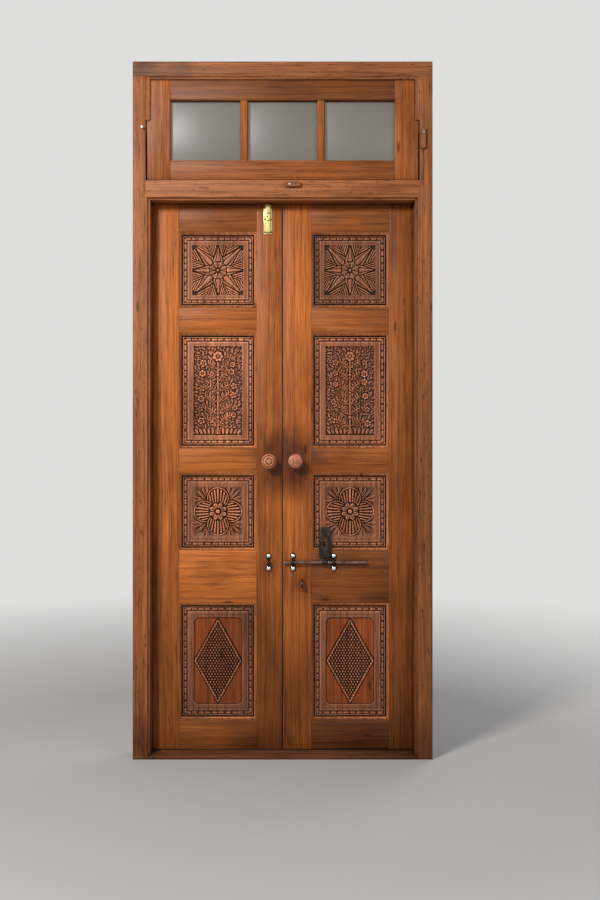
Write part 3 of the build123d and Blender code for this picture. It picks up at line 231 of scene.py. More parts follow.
def varnished_wood(
    name, dark, middle, light, gloss, hollow_shades=None, spots=(), pits_from=0.67, foot=0.54
):
    """Teak in three tones, darker where it is stained or pitted and towards the bottom, with
    painted shadows among its stains, painted shade in carved hollows and corners, and painted
    highlights on carved high points.
    """
    material, tree, shader = new_material(name, specular_ior_level=0.22)
    grain = wire(tree, "Attribute", attribute_name="grain")["Vector"]
    figure = drawn_noise(tree, grain, (1, 17, 17), 5, 0.62, 1.2)
    streaks = drawn_noise(tree, grain, (3, 150, 150), 6, 0.7, 0.4)
    pores = drawn_noise(tree, grain, (7, 330, 330), 4, 0.7)
    clouds = drawn_noise(tree, grain, (2.6, 6, 6), 3)
    pits = drawn_noise(tree, grain, (26, 95, 95), 5, 0.7)
    bands = {"Scale": 1, "Distortion": 7, "Detail": 3, "Detail Scale": 0.8}
    bands["Vector"] = stretched(tree, grain, (1.3, 11, 11))
    arcs = wire(tree, "TexWave", bands, bands_direction="Y")["Fac"]
    knot_place = stretched(tree, grain, (3.2, 11, 11))
    knots = wire(tree, "TexVoronoi", {"Vector": knot_place, "Scale": 1})["Distance"]
    fine = math_node(tree, "MULTIPLY", streaks, 0.62)
    blend = math_node(tree, "MULTIPLY_ADD", figure, 0.38, fine)
    colour = ramp(tree, blend, [(0.31, dark), (0.5, middle), (0.69, light)])
    for strength, factor, stops in (
        (0.5, arcs, [(0, (0.62, 0.56, 0.5)), (0.3, WHITE), (1, (1.08, 1.06, 1.02))]),
        (0.8, pores, [(0.34, (0.2, 0.13, 0.09)), (0.46, WHITE), (0.7, (1.22, 1.18, 1.08))]),
        (0.8, clouds, [(0.3, (0.55, 0.5, 0.48)), (0.5, WHITE), (0.7, (1.2, 1.12, 1))]),
        (0.8, knots, [(0.035, (0.16, 0.12, 0.1)), (0.09, WHITE)]),
        (0.8, pits, [(pits_from, WHITE), (pits_from + 0.08, (0.22, 0.16, 0.13))]),
    ):
        colour = shaded(tree, strength, colour, factor, stops)
    colour = tinted(tree, 1, colour, grey(tree, carried(tree, "tone")))
    local = wire(tree, "TexCoord")["Object"]
    place = wire(tree, "SeparateXYZ", {"Vector": local})
    flat = wire(tree, "CombineXYZ", {"X": place["X"], "Z": place["Z"]})["Vector"]
    colour = darkened_in_spots(tree, colour, flat, clouds, spots)
    # Darker towards the bottom, over the lowest 0.9 m.
    towards_bottom_darkening = remap(tree, place["Z"], 0, DARKENING_HEIGHT, foot)
    colour = tinted(tree, 1, colour, grey(tree, towards_bottom_darkening))
    if hollow_shades:
        # Painted shade and painted highlight, from how sunken each point is.
        colour = shaded(tree, 1, colour, carried(tree, "hollow"), hollow_shades)
        colour = shaded(tree, 1, colour, carried(tree, "warmth"), WARM)
    # Painted shade in the corners and joints of the wood.
    colour = corner_shaded(tree, colour, 0.014, 0.3, (0.16, 0.11, 0.08))
    roughness = math_node(tree, "MULTIPLY_ADD", clouds, 0.25, gloss)
    surface = math_node(tree, "MULTIPLY_ADD", pores, 0.5, streaks)
    dress(tree, shader, colour, roughness, surface, 0.35, 0.0008)
    return material


# %% The four woods
# Spots of x, z, radius and strength. The spot at the upper right (0.48, 1.95) and the two across
# the top (z 2.2) are painted shadow from the head. The one low on the right meeting edge (0.05,
# 0.28) only darkens it there. The spots round the knobs and below the latch are stains.
LEAF_STAINS_AND_SHADOWS = [
    (-0.05, 1.195, 0.1, 0.9), (0.05, 1.2, 0.11, 0.95), (-0.055, 1.08, 0.12, 0.95),
    (0.055, 1.08, 0.12, 0.95), (-0.055, 0.72, 0.07, 0.7), (0.075, 0.66, 0.09, 0.6),
    (-0.1, 0.02, 0.16, 0.6), (0.3, 0.02, 0.22, 0.75), (0.42, 0.6, 0.14, 0.5),
    (0.05, 0.28, 0.25, 0.5), (0.48, 1.95, 0.35, 0.4), (-0.3, 2.2, 0.45, 0.4),
    (0.15, 2.2, 0.45, 0.4),
]
# The first spot (-0.56, 2.5) is painted shade over the upper left of the frame; the others are
# stains.
FRAME_STAINS_AND_SHADE = [
    (-0.56, 2.5, 0.3, 0.4), (-0.54, 2.655, 0.07, 0.8), (-0.38, 2.66, 0.06, 0.6),
    (-0.54, 0.05, 0.12, 0.7), (0.54, 0.05, 0.16, 0.7),
]
# Painted shade in the carving's hollows, down to near black, and painted highlight on its high
# points.
CARVED_HOLLOW_SHADES = [
    (0, (2.3, 2.25, 2.3)), (0.2, (1.42, 1.36, 1.34)), (0.31, (0.92, 0.88, 0.88)),
    (0.52, (0.55, 0.5, 0.47)), (0.8, (0.07, 0.05, 0.04)),
]
teak = varnished_wood(
    "teak", (0.23, 0.056, 0.011), (0.4, 0.118, 0.023), (0.55, 0.182, 0.042), 0.34, spots=LEAF_STAINS_AND_SHADOWS
)
frame_teak = varnished_wood(
    "frame_teak", (0.17, 0.052, 0.017), (0.33, 0.112, 0.037), (0.48, 0.178, 0.066), 0.42,
    spots=FRAME_STAINS_AND_SHADE, pits_from=0.58, foot=0.86,
)
carved_teak = varnished_wood(
    "carved_teak", (0.17, 0.062, 0.03), (0.3, 0.12, 0.06), (0.42, 0.185, 0.105), 0.3, CARVED_HOLLOW_SHADES
)
turned_teak = varnished_wood(
    "turned_teak", (0.24, 0.088, 0.047), (0.4, 0.155, 0.085), (0.52, 0.225, 0.135), 0.26
)
print("woods", teak.name, frame_teak.name, carved_teak.name, turned_teak.name)

# %% [markdown]
# ## Iron, steel, brass, glass and near-black strips that paint shade
# The latch is forged iron, nearly black, and its studs are rubbed bright on top. The tower bolt is
# brass, the screws and hinges are steel, the strips at the meeting edges are near black to paint
# the shade in the gap between the leaves, and the panes are dusty. Each could be one flat value,
# but metal is read by its uneven shine and old glass by its uneven dust, so noise drives them.


# %% The metals and the felt
def worn_metal(name, dark, light, metal, rough_low, rough_high, patch=160, reach=0.005):
    """Metal with small patches of two colours and two roughnesses."""
    material, tree, shader = new_material(name, metallic=metal)
    place = wire(tree, "TexCoord")["Object"]
    noise = wire(tree, "TexNoise", {"Vector": place, "Scale": patch, "Detail": 5})["Fac"]
    colour = ramp(tree, noise, [(0.35, dark), (0.65, light)])
    # Painted shade in the corners and slots of the metal; on the brass it reaches further.
    colour = corner_shaded(tree, colour, reach, 0.4, (0.08, 0.06, 0.04))
    roughness = remap(tree, noise, 0.3, 0.7, rough_low, rough_high)
    dress(tree, shader, colour, roughness, noise, 0.15, 0.0004)
    return material


iron = worn_metal("iron", (0.016, 0.012, 0.01), (0.05, 0.038, 0.032), 0.7, 0.26, 0.4, 40)
rod_iron = worn_metal("rod_iron", (0.12, 0.075, 0.055), (0.3, 0.2, 0.15), 0.9, 0.22, 0.38, 40)
steel = worn_metal("steel", (0.22, 0.2, 0.18), (0.42, 0.4, 0.37), 1, 0.3, 0.5)
brass = worn_metal("brass", (0.7, 0.55, 0.2), (0.9, 0.76, 0.33), 1, 0.32, 0.44, 30, 0.014)
# Near black, for the strips that paint the shade in the gap between the leaves.
gap_shade_black = worn_metal("gap_shade_black", (0.01, 0.008, 0.007), (0.022, 0.018, 0.015), 0, 0.8, 0.95, 400)

stud_iron, tree, shader = new_material("stud_iron", metallic=1, roughness=0.16)
STUD_SHADES = [(0, (0.006, 0.005, 0.005)), (1, (0.95, 0.93, 0.9))]
tree.links.new(ramp(tree, carried(tree, "tone"), STUD_SHADES), shader.inputs["Base Color"])
print("metals", iron.name, rod_iron.name, stud_iron.name, steel.name, brass.name, gap_shade_black.name)

# %% The glass
PANE_SHADES = [(0.3, (0.25, 0.23, 0.198)), (0.7, (0.29, 0.272, 0.238))]
glass, tree, shader = new_material("glass", transmission_weight=0.85, ior=1.5, roughness=0.42)
dust = wire(tree, "TexNoise", {"Vector": wire(tree, "TexCoord")["Object"], "Scale": 3, "Detail": 4})
tree.links.new(ramp(tree, dust["Fac"], PANE_SHADES), shader.inputs["Base Color"])
print("glass", glass.name)

# %% [markdown]
# ## Pieces and bodies
# Every piece has to move with the right part of the door, stand for the right solid and carry its
# finish. Each call could say all that. One helper that asks the solid's node for its body leaves no
# piece behind when a leaf swings.


# %% Helpers that turn points and faces into a piece of the door
MM = 0.001
SHARP_ANGLE = 35


def finish_piece(mesh, material, node, angle=SHARP_ANGLE, added=False):
    """Show a mesh in place of a node, or added to it, on the node's body and with its material."""
    if angle:
        mesh.shade_smooth()
    mesh.set_sharp_from_angle(angle=math.radians(angle or SHARP_ANGLE))
    mesh.materials.clear()
    mesh.materials.append(material)
    piece = placed(mesh.name, mesh)
    if not added:
        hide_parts(node)
    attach(piece, frame["nodes"][node]["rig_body"])
    return piece


def mesh_from(name, points, faces):
    """A mesh from points in millimetres."""
    mesh = bpy.data.meshes.new(name)
    mesh.from_pydata((np.array(points) * MM).tolist(), [], faces)
    mesh.update()
    return mesh


def carry(mesh, name, values):
    """Write a number, or one for each point, for the mesh's material to read."""
    layer = mesh.attributes.new(name, "FLOAT", "POINT")
    layer.data.foreach_set("value", np.broadcast_to(np.float32(values), len(mesh.vertices)).copy())


def set_grain(mesh, along, tone, seed):
    """Write each point's grain coordinates and its tone."""
    places = np.zeros((len(mesh.vertices), 3), np.float32)
    mesh.vertices.foreach_get("co", places.ravel())
    order = {"x": [0, 2, 1], "z": [2, 0, 1], "y": [1, 0, 2]}[along]
    draw = random.Random(seed)
    offset = np.array([draw.uniform(0, 20) for _ in range(3)], np.float32)
    grain = mesh.attributes.new("grain", "FLOAT_VECTOR", "POINT")
    grain.data.foreach_set("vector", (places[:, order] + offset).ravel())
    carry(mesh, "tone", tone)


# %% [markdown]
# ## Boards with eased edges
# Real joinery never has razor edges: a plane or a rag has taken the corner off every board, and
# two boards that meet flush show a thin dark line. The solids have sharp edges, so each is
# copied, its outer corners are bevelled a little, and the copy stands in for it.


# %% A helper that copies a solid and eases its corners
SAME_POINT = 1e-6
FLAT_ANGLE = 0.6
CURVED_FROM = 0.02


def eased_copy(node, width):
    """A copy of a node's mesh with its convex corners bevelled."""
    mesh = frame["nodes"][node].data.copy()
    mesh.name = node + "_eased"
    work = bmesh.new()
    work.from_mesh(mesh)
    bmesh.ops.remove_doubles(work, verts=work.verts, dist=SAME_POINT)
    bmesh.ops.dissolve_limit(
        work, angle_limit=math.radians(FLAT_ANGLE), verts=work.verts, edges=work.edges
    )
    limit = math.radians(SHARP_ANGLE)
    corners = [e for e in work.edges if e.is_manifold and e.calc_face_angle_signed() > limit]
    bevelled = bmesh.ops.bevel(
        work, geom=corners, offset=width * MM, segments=2, profile=0.5,
        affect="EDGES", clamp_overlap=True,
    )
    eased = set(bevelled["faces"])
    for face in work.faces:
        rounded = any(
            CURVED_FROM < edge.calc_face_angle(0) < limit and eased.isdisjoint(edge.link_faces)
            for edge in face.edges
        )
        face.smooth = face in eased or rounded
    work.to_mesh(mesh)
    work.free()
    for attribute in [a.name for a in mesh.attributes if a.name.startswith(("UV", "Col"))]:
        mesh.attributes.remove(mesh.attributes[attribute])
    return mesh


def ease(node, width, material, along=None, tone=1):
    """Replace a node by its eased copy."""
    mesh = eased_copy(node, width)
    if along:
        set_grain(mesh, along, tone, node)
    finish_piece(mesh, material, node, None)


# %% The boards and their tones
BOARD_EASE = 1
UPRIGHT_BOARDS = ("jamb", "stile", "bars")
FRAME_TONES = {
    "left_jamb": 1.03, "right_jamb": 0.82, "head": 0.82, "transom_bar": 1.02, "sill": 0.6,
}
# The low tones of the top rails, the sash's and both leaves', are partly painted shadow from the
# parts above them.
TEAK_TONES = {
    "sash_left_stile": 0.78, "sash_right_stile": 0.83, "sash_top_rail": 0.42,
    "sash_bottom_rail": 0.86, "sash_bars": 0.85,
    "left_meeting_stile": 0.95, "left_hinge_stile": 1.15, "left_bottom_rail": 0.95,
    "left_lock_rail": 1.55, "left_middle_rail": 0.98, "left_upper_rail": 0.96,
    "left_top_rail": 0.72,
    "right_meeting_stile": 1.2, "right_hinge_stile": 0.8, "right_bottom_rail": 0.58,
    "right_lock_rail": 0.66, "right_middle_rail": 1.02, "right_upper_rail": 0.9,
    "right_top_rail": 0.76,
}
for tones, wood in ((FRAME_TONES, frame_teak), (TEAK_TONES, teak)):
    for node, tone in tones.items():
        ease(node, BOARD_EASE, wood, "z" if node.endswith(UPRIGHT_BOARDS) else "x", tone)
print("boards", len(FRAME_TONES | TEAK_TONES))

# %% [markdown]
# ## Panel mouldings
# A thin moulding is planted round every carved panel. Its section is a small bead, a hollow and a
# fillet, and their tones paint highlights on the crests and shade in the quirks, which draw the
# fine bright and dark lines round each panel. The strip could be extruded and mitred four times.
# One closed ring with a section at each corner gives the same mitres.

# %% The moulding's section, by distance inward, height above the panel and tone, which paints highlights on the crests and shade in the quirks and at the back edge
MOULDING = [
    (0, 0, 0.15), (0, 4.6, 0.3), (0.6, 5.7, 1), (1.3, 6.3, 1.6),
    (2.3, 6.3, 1.6), (3, 5.6, 1.1), (3.3, 4, 0.2), (4.3, 3.8, 0.2),
    (4.6, 5, 0.9), (5.3, 5.3, 1.4), (6.4, 4.8, 1.5), (8.2, 2.8, 1.5),
    (9.4, 1.2, 1.2), (9.9, -2.2, 0.12), (11, -2.4, 0.1), (11, -3.6, 0.1),
]
PANEL_FRONT_Y = 21
PANEL_SIDES = {"left": (-404, -101), "right": (112, 415)}
OPENINGS = {
    "lattice": (134, 588),
    "rosette": (794, 1095),
    "floral": (1192, 1641),
    "star": (1740, 2034),
}


def bridge(first, second, sides):
    """The faces between two rings, from the numbers of their first points."""
    return [
        (first + step, first + (step + 1) % sides, second + (step + 1) % sides, second + step)
        for step in range(sides)
    ]


def mitred_ring(sides, levels):
    """Points and faces of the moulding's section, run round an opening."""
    points, faces = [], []
    for inward, rise, _ in MOULDING:
        left, right = sides[0] + inward, sides[1] - inward
        low, high = levels[0] + inward, levels[1] - inward
        y = PANEL_FRONT_Y - rise
        points += [(left, y, low), (right, y, low), (right, y, high), (left, y, high)]
    for step in range(len(MOULDING)):
        faces += bridge(4 * step, 4 * ((step + 1) % len(MOULDING)), 4)
    return points, faces


def joined(pieces):
    """One set of points and faces from several."""
    points, faces = [], []
    for more_points, more_faces in pieces:
        faces += [tuple(corner + len(points) for corner in face) for face in more_faces]
        points += more_points
    return points, faces


# %% The mouldings of both leaves
MOULDING_TONES = {"left": 1.05, "right": 1}
# Painted light at the corners, left bottom, right bottom, right top and left top: the right and
# lower sides lighter and the left and upper sides darker, as the light falls from the upper left.
CORNER_LIGHT_AND_SHADE = (0.9, 1.45, 1.25, 0.8)
MOULDING_ANGLE = 28
for leaf, sides in PANEL_SIDES.items():
    rings = [mitred_ring(sides, levels) for levels in OPENINGS.values()]
    mesh = mesh_from(f"{leaf}_mouldings", *joined(rings))
    tones = np.outer([tone for _, _, tone in MOULDING], CORNER_LIGHT_AND_SHADE).ravel()
    tones = np.tile(tones, len(rings)) * MOULDING_TONES[leaf]
    set_grain(mesh, "z", tones, leaf + "moulding")
    finish_piece(mesh, frame_teak, f"{leaf}_panel_mouldings", MOULDING_ANGLE)
print("moulding rings", 2 * len(OPENINGS))

# %% [markdown]
# ## Carving as a height map
# Each carved panel is a board whose face is cut to a few millimetres. It could be sculpted by
# hand, or built from hundreds of little leaf solids. Here the face is a fine grid, and numbers
# decide how deep the chisel went at each point. The highest shape wins wherever two meet, just
# as one leaf lies over another in the wood.

# %% The grid, and the border that all the panels share
GRID_PITCH = 1.45
GRID_OVERLAP = 2
GROUND = -8
GROOVE_FLOOR = -4
BEAD_FLOOR = GROOVE_FLOOR * 1.3
OUTER_GROOVE = (11, 15.2)
OUTER_FLOOR = -7
BEAD_ROW = (18.6, 30.4)
INNER_GROOVE = (30.4, 33.6)
BEAD_PITCH = 25.8
BEAD_CELLS = 64


def panel_grid(width, height):
    """The points across and up a panel, about its middle and to under the moulding."""
    edge = OUTER_GROOVE[0] - GRID_OVERLAP
    across = np.linspace(-width / 2 + edge, width / 2 - edge, int(width / GRID_PITCH))
    up = np.linspace(-height / 2 + edge, height / 2 - edge, int(height / GRID_PITCH))
    return np.meshgrid(across, up)


def limited(value):
    """A number kept between nought and one."""
    return np.clip(value, 0, 1)


def smooth_step(value, low, high):
    """Nought below low, one above high, and a smooth rise between them."""
    share = limited((value - low) / (high - low))
    return share * share * (3 - 2 * share)


def bead_row_height(x, z, width, height, seed):
    """Grooves and a row of worn beads round the border, and a flat margin inside."""
    side_gap = width / 2 - abs(x)
    end_gap = height / 2 - abs(z)
    inset = np.minimum(side_gap, end_gap)
    travel = np.where(side_gap < end_gap, z, x)
    draw = np.random.default_rng(seed)
    count = travel / BEAD_PITCH + BEAD_CELLS / 2
    cell = np.clip(np.floor(count).astype(int), 0, BEAD_CELLS - 1)
    sway = draw.uniform(-0.12, 0.12, BEAD_CELLS)[cell]
    wear = draw.uniform(0.75, 1, BEAD_CELLS)[cell]
    along = (count - cell - 0.5 + sway) * 2
    across = (inset - sum(BEAD_ROW) / 2) / ((BEAD_ROW[1] - BEAD_ROW[0]) / 2)
    round_part = 1 - abs(along * 1.2) ** 5 - abs(across * 1.06) ** 3.0
    bead = BEAD_FLOOR - BEAD_FLOOR * wear * limited(round_part) ** 0.4
    result = np.zeros_like(x)
    in_row = (inset >= BEAD_ROW[0]) & (inset <= BEAD_ROW[1])
    result[(inset > INNER_GROOVE[0]) & (inset < INNER_GROOVE[1])] = GROOVE_FLOOR
    result[inset < OUTER_GROOVE[1]] = OUTER_FLOOR
    result[in_row] = bead[in_row]
    return result


def field_depth(x, z, half_width, half_height, corner):
    """How far each point is inside a rounded rectangle, less than nought outside it."""
    dx = abs(x) - (half_width - corner)
    dz = abs(z) - (half_height - corner)
    outside = np.hypot(np.maximum(dx, 0), np.maximum(dz, 0))
    inside = np.minimum(np.maximum(dx, dz), 0)
    return corner - outside - inside


# %% [markdown]
# The motifs are drawn with two strokes of a chisel. A leaf stroke is a pointed lens with a
# sunken middle vein, and a petal stroke is a rounded drop. Both could be curves with bevels,
# but as formulas they can be stamped anywhere on the grid in one line.


# %% The strokes
def near(x, z, centre, reach):
    """The rows and columns of the grid that lie within reach of a point."""
    rows = np.searchsorted(z[:, 0], (centre[1] - reach, centre[1] + reach))
    columns = np.searchsorted(x[0], (centre[0] - reach, centre[0] + reach))
    return slice(*rows), slice(*columns)


def local_axes(x, z, base, angle):
    """Coordinates along and across a stroke that starts at a base."""
    turn = math.radians(angle)
    dx, dz = x - base[0], z - base[1]
    return dx * math.cos(turn) + dz * math.sin(turn), dz * math.cos(turn) - dx * math.sin(turn)


def stroke_ground(heights, x, z, base, angle, length):
    """The heights in reach of a stroke, and how far along and across it they are."""
    window = near(x, z, base, length + 2)
    along, across = local_axes(x[window], z[window], base, angle)
    return heights[window], along / length, across


def raise_to(part, stroke, inside):
    """Raise the heights inside to a stroke, where it is the higher of the two."""
    part[inside] = np.maximum(part, stroke)[inside]


def leaf_stroke(heights, x, z, base, angle, length, width, rise, bend=0, vein=0.45, spare=False):
    """Raise a pointed leaf, bent sideways by a share of its length. A spare one needs room."""
    part, share, across = stroke_ground(heights, x, z, base, angle, length)
    off_vein = across - bend * length * share * share
    to_tip = limited(1 - share)
    half = width / 2 * np.sqrt(limited(share)) * to_tip**0.6 * 1.9
    reach = abs(off_vein) / np.maximum(half, 1e-3)
    length_in = (share > 0) & (share < 1)
    if spare:
        ground = part[length_in & (reach < 1.25)]
        if ground.size == 0 or (ground > GROUND + 0.5).mean() > 0.1:
            return
    body = limited(1 - reach**2) ** 0.6
    hollow = vein * np.exp(-((off_vein / (width * 0.1)) ** 2))
    stroke = GROUND + rise * (0.55 + 0.45 * to_tip) * body * (1 - hollow)
    raise_to(part, stroke, length_in & (reach < 1))


def petal_stroke(heights, x, z, base, angle, length, width, rise):
    """Raise a rounded petal that is widest near its outer end."""
    part, share, across = stroke_ground(heights, x, z, base, angle, length)
    half = width / 2 * np.sin(limited(share) ** 1.5 * math.pi) ** 0.7
    reach = abs(across) / np.maximum(half, 1e-3)
    stroke = GROUND + rise * limited(1 - reach**2) ** 0.5 * (0.6 + 0.4 * share)
    raise_to(part, stroke, (share > 0) & (share < 1) & (reach < 1))


def round_ground(heights, x, z, centre, radius):
    """The heights round a point, and how far each is from it."""
    window = near(x, z, centre, radius + 2)
    return heights[window], np.hypot(x[window] - centre[0], z[window] - centre[1])


def clear_round(heights, x, z, centre, radius):
    """Cut a round patch down to the floor."""
    part, distance = round_ground(heights, x, z, centre, radius)
    part[distance < radius] = GROUND


def boss(heights, x, z, centre, radius, rise, ring):
    """Raise a round boss inside a sunken ring."""
    clear_round(heights, x, z, centre, radius + ring)
    part, distance = round_ground(heights, x, z, centre, radius)
    dome = GROUND + rise * np.sqrt(limited(1 - (distance / radius) ** 2 * 0.8))
    raise_to(part, dome, distance < radius)


def ridge(distance, half_width, rise):
    """A rounded ridge on the floor, by the distance from its middle line."""
    return GROUND + rise * np.sqrt(limited(1 - (distance / half_width) ** 2))


def polar(radius, angle):
    """The point at a distance and an angle from a panel's middle."""
    turn = math.radians(angle)
    return radius * math.cos(turn), radius * math.sin(turn)


# %% [markdown]
# ## The four motifs
# The star has eight ridged rays round a small flower, over hatched ground. The plant climbs
# from a row of leaves, and small leaves fill the ground round its scrolls. The rosette has four
# fluted lobes round a big flower, and the lattice is a diamond of small lozenges. They could be
# drawn perfectly even, but traditional ornament is hand-cut, so every angle wanders a little.

# %% The star
STAR_HEART = 36
FAN_REACH = 126
HATCH_PITCH = 12.5
RIB_EDGES = (2.4, 4)
SHORT_RAY, LONG_RAY = (95, 20), (128, 21.5)
RAY_FOOT = 9
WIDEST_AT = 0.4
VEIN_CUT = 3.4


def carve_star(x, z, draw):
    """Hatched fans, then the rays, the short ones last, then the flower."""
    heights = np.full_like(x, GROUND)
    radius = np.hypot(x, z)
    for index in range(8):
        along, across = local_axes(x, z, (0, 0), (index + 0.5) * 45 + draw.uniform(-1, 1))
        side = abs(across)
        fan = (along > STAR_HEART) & (side < 0.34 * along) & (radius < FAN_REACH)
        hatch = abs(np.sin((along - 1.25 * side + draw.uniform(0, 3)) * math.pi / HATCH_PITCH))
        cut = GROUND + 1.8 + 5.6 * limited(hatch * 1.5 - 0.2) ** 0.6
        cut = np.where(side < RIB_EDGES[0], ridge(side, 2.8, 8.8), cut)
        cut = np.where((side > RIB_EDGES[0]) & (side < RIB_EDGES[1]), GROUND + 0.5, cut)
        heights[fan] = cut[fan]
    for index in (1, 3, 5, 7, 0, 2, 4, 6):
        length, widest = LONG_RAY if index % 2 else SHORT_RAY
        length += draw.uniform(-3, 3)
        along, across = local_axes(x, z, (0, 0), index * 45 + draw.uniform(-1.5, 1.5))
        share = along / length
        widening = RAY_FOOT + share / WIDEST_AT * (widest - RAY_FOOT)
        half = np.where(share < WIDEST_AT, widening, widest * (1 - share) / (1 - WIDEST_AT))
        reach = abs(across) / np.maximum(half, 1e-3)
        moat = (reach >= 1) & (abs(across) < half + 2.4) & (share > 0.2) & (share < 1.02)
        heights[moat] = GROUND
        ray = GROUND + 5 + 4.4 * limited(1 - reach)
        facet = (share > 0.12) & (share < 1) & (reach < 1)
        heights[facet] = ray[facet]
        vein = facet & (abs(reach - 0.5) < 0.1) & (share < 0.8)
        heights[vein] -= VEIN_CUT
    heights[radius < STAR_HEART] = GROUND
    for index in range(8):
        petal_stroke(heights, x, z, polar(8, index * 45 + 22), index * 45 + 22, 27, 22, 9.4)
        leaf_stroke(heights, x, z, polar(22, index * 45), index * 45, 24, 10, 9)
    boss(heights, x, z, (0, 0), 6, 10, 4.6)
    return heights


# %% The flowers and the scrolls of the plant
SCROLL_STEP = 3


def blossom(heights, x, z, centre, radius, draw, petals):
    """A small flower with a boss, on cleared ground."""
    clear_round(heights, x, z, centre, radius + 1.5)
    first = draw.uniform(0, 60)
    for index in range(petals):
        turn = first + index * 360 / petals
        petal_stroke(heights, x, z, centre, turn, radius, radius * 0.95, draw.uniform(7, 9))
    boss(heights, x, z, centre, radius * 0.26, 8.8, 1.8)


def scroll(heights, x, z, start, heading, turning, length, draw):
    """A stem that curls more and more, with leaves on both sides and a flower."""
    place, steps = list(start), length / SCROLL_STEP
    for index in range(int(steps)):
        heading += turning * (0.5 + index / steps)
        place[0] += SCROLL_STEP * math.cos(math.radians(heading))
        place[1] += SCROLL_STEP * math.sin(math.radians(heading))
        boss(heights, x, z, place, 2.4, 8.2, 0)
        for side in (-1, 1) if index % 3 == 1 else ():
            turn = heading + side * draw.uniform(38, 70)
            size = draw.uniform(13, 19)
            rise = draw.uniform(6.2, 9)
            leaf_stroke(heights, x, z, place, turn, size, size * 0.48, rise, side * 0.2)
    blossom(heights, x, z, place, draw.uniform(11, 15), draw, draw.choice((5, 6)))


# %% The flowering plant
PLANT_END = 172
PLANT_SIDE = 93
SCROLL_FEET = (-140, -98, -52, -6, 40, 84)
FOOT_LEAVES = 6
LARGE_LEAVES, ALL_LEAVES = 700, 2000
STEM_TOP = 118
STEM_HALF_WIDTH = 3
STEM_CLEARANCE = 4.4
STEM_BOSSES = (-104, -8, 62)
CROWN_FLOWER = (0, 134)


def carve_plant(x, z, draw):
    """Scrolls and foot leaves, then the filling leaves, then the stem on top."""
    heights = np.full_like(x, GROUND)
    for side in (-1, 1):
        for tier, foot in enumerate(SCROLL_FEET):
            heading = 90 - side * draw.uniform(22, 40)
            turning = -side * draw.uniform(2.4, 4.2)
            start = (side * 3, foot + draw.uniform(-6, 6))
            scroll(heights, x, z, start, heading, turning, 78 - 3 * tier, draw)
        for step in range(FOOT_LEAVES):
            start = (side * (6 + step * 14), -PLANT_END + 2)
            leaf_stroke(heights, x, z, start, 90 - side * (step * 8 - 6), 26, 12, 8)
    for index in range(ALL_LEAVES):
        place = draw.uniform(-PLANT_SIDE, PLANT_SIDE), draw.uniform(-PLANT_END, PLANT_END)
        size = draw.uniform(14, 25) if index < LARGE_LEAVES else draw.uniform(8, 14)
        turn = 90 - 62 * place[0] / PLANT_SIDE + draw.uniform(-42, 42)
        rise = draw.uniform(5.5, 9)
        bend = draw.uniform(-0.2, 0.2)
        leaf_stroke(heights, x, z, place, turn, size, size * 0.46, rise, bend, 0.5, True)
    upright = (z > -PLANT_END + 2) & (z < STEM_TOP)
    heights[(abs(x) < STEM_CLEARANCE) & upright] = GROUND
    stem = (abs(x) < STEM_HALF_WIDTH) & upright
    heights[stem] = ridge(x, 3.2, 8)[stem]
    for height in STEM_BOSSES:
        boss(heights, x, z, (0, height), 6, 8.8, 1.4)
    blossom(heights, x, z, CROWN_FLOWER, 20, draw, 7)
    return heights


# %% The rosette
LOBE_CENTRE = 52
LOBE_RADIUS = 35.5
LOBE_RIM = (37.6, 42.6)
LOBE_CLEARANCE = 45.5
FLUTE_PITCH = 12
ROSE_HEART = 37


def carve_rosette(x, z, draw):
    """Leaves in the corners, then the four lobes, then the big flower on top."""
    heights = np.full_like(x, GROUND)
    for corner in (45, 135, 225, 315):
        for step in range(5):
            spread = (step - 2) * 17
            start = polar(62 + abs(step - 2) * 5, corner + spread * 0.42)
            turn = corner + spread + draw.uniform(-4, 4)
            leaf_stroke(heights, x, z, start, turn, 62 - abs(step - 2) * 11, 12.5, 9, 0, 0.7)
        for side in (-1, 1):
            for step in range(4):
                start = polar(84 + step * 9, corner + side * (11 + step * 3.4))
                turn = corner + side * (70 + draw.uniform(-6, 6))
                leaf_stroke(heights, x, z, start, turn, 22, 8.5, 8.4)
    for quarter in (0, 90, 180, 270):
        centre = polar(LOBE_CENTRE, quarter)
        distance = np.hypot(x - centre[0], z - centre[1])
        heights[distance < LOBE_CLEARANCE] = GROUND
        along, across = local_axes(x, z, (0, 0), quarter)
        pitch = FLUTE_PITCH * (0.45 + 0.55 * np.clip(along / 70, 0, 1.3))
        ribs = abs(np.sin(across / pitch * math.pi + math.pi / 2))
        lobe = GROUND + 0.6 + 7.4 * limited(ribs * 1.4 - 0.4) ** 0.6
        inside = distance < LOBE_RADIUS
        heights[inside] = lobe[inside]
        rim = (distance >= LOBE_RIM[0]) & (distance < LOBE_RIM[1])
        heights[rim] = ridge(distance - sum(LOBE_RIM) / 2, 2.7, 8.8)[rim]
    heights[np.hypot(x, z) < ROSE_HEART] = GROUND
    petal_turns = [index * 45 + 22.5 for index in range(8)]
    for turn in petal_turns:
        petal_stroke(heights, x, z, polar(4, turn), turn, 31, 21, 9.6)
    for turn in petal_turns:
        along, across = local_axes(x, z, (0, 0), turn)
        vein = (abs(across) < 1.1) & (along > 14) & (along < 29)
        heights[vein] -= VEIN_CUT
    boss(heights, x, z, (0, 0), 8.6, 11, 5.4)
    return heights


# %% The lattice
LATTICE_SIDE = 92
LATTICE_END = 165
LOZENGES = 16
LATTICE_GROUND = GROUND + 3
LATTICE_RIM = 0.026
LATTICE_MOAT = 0.022


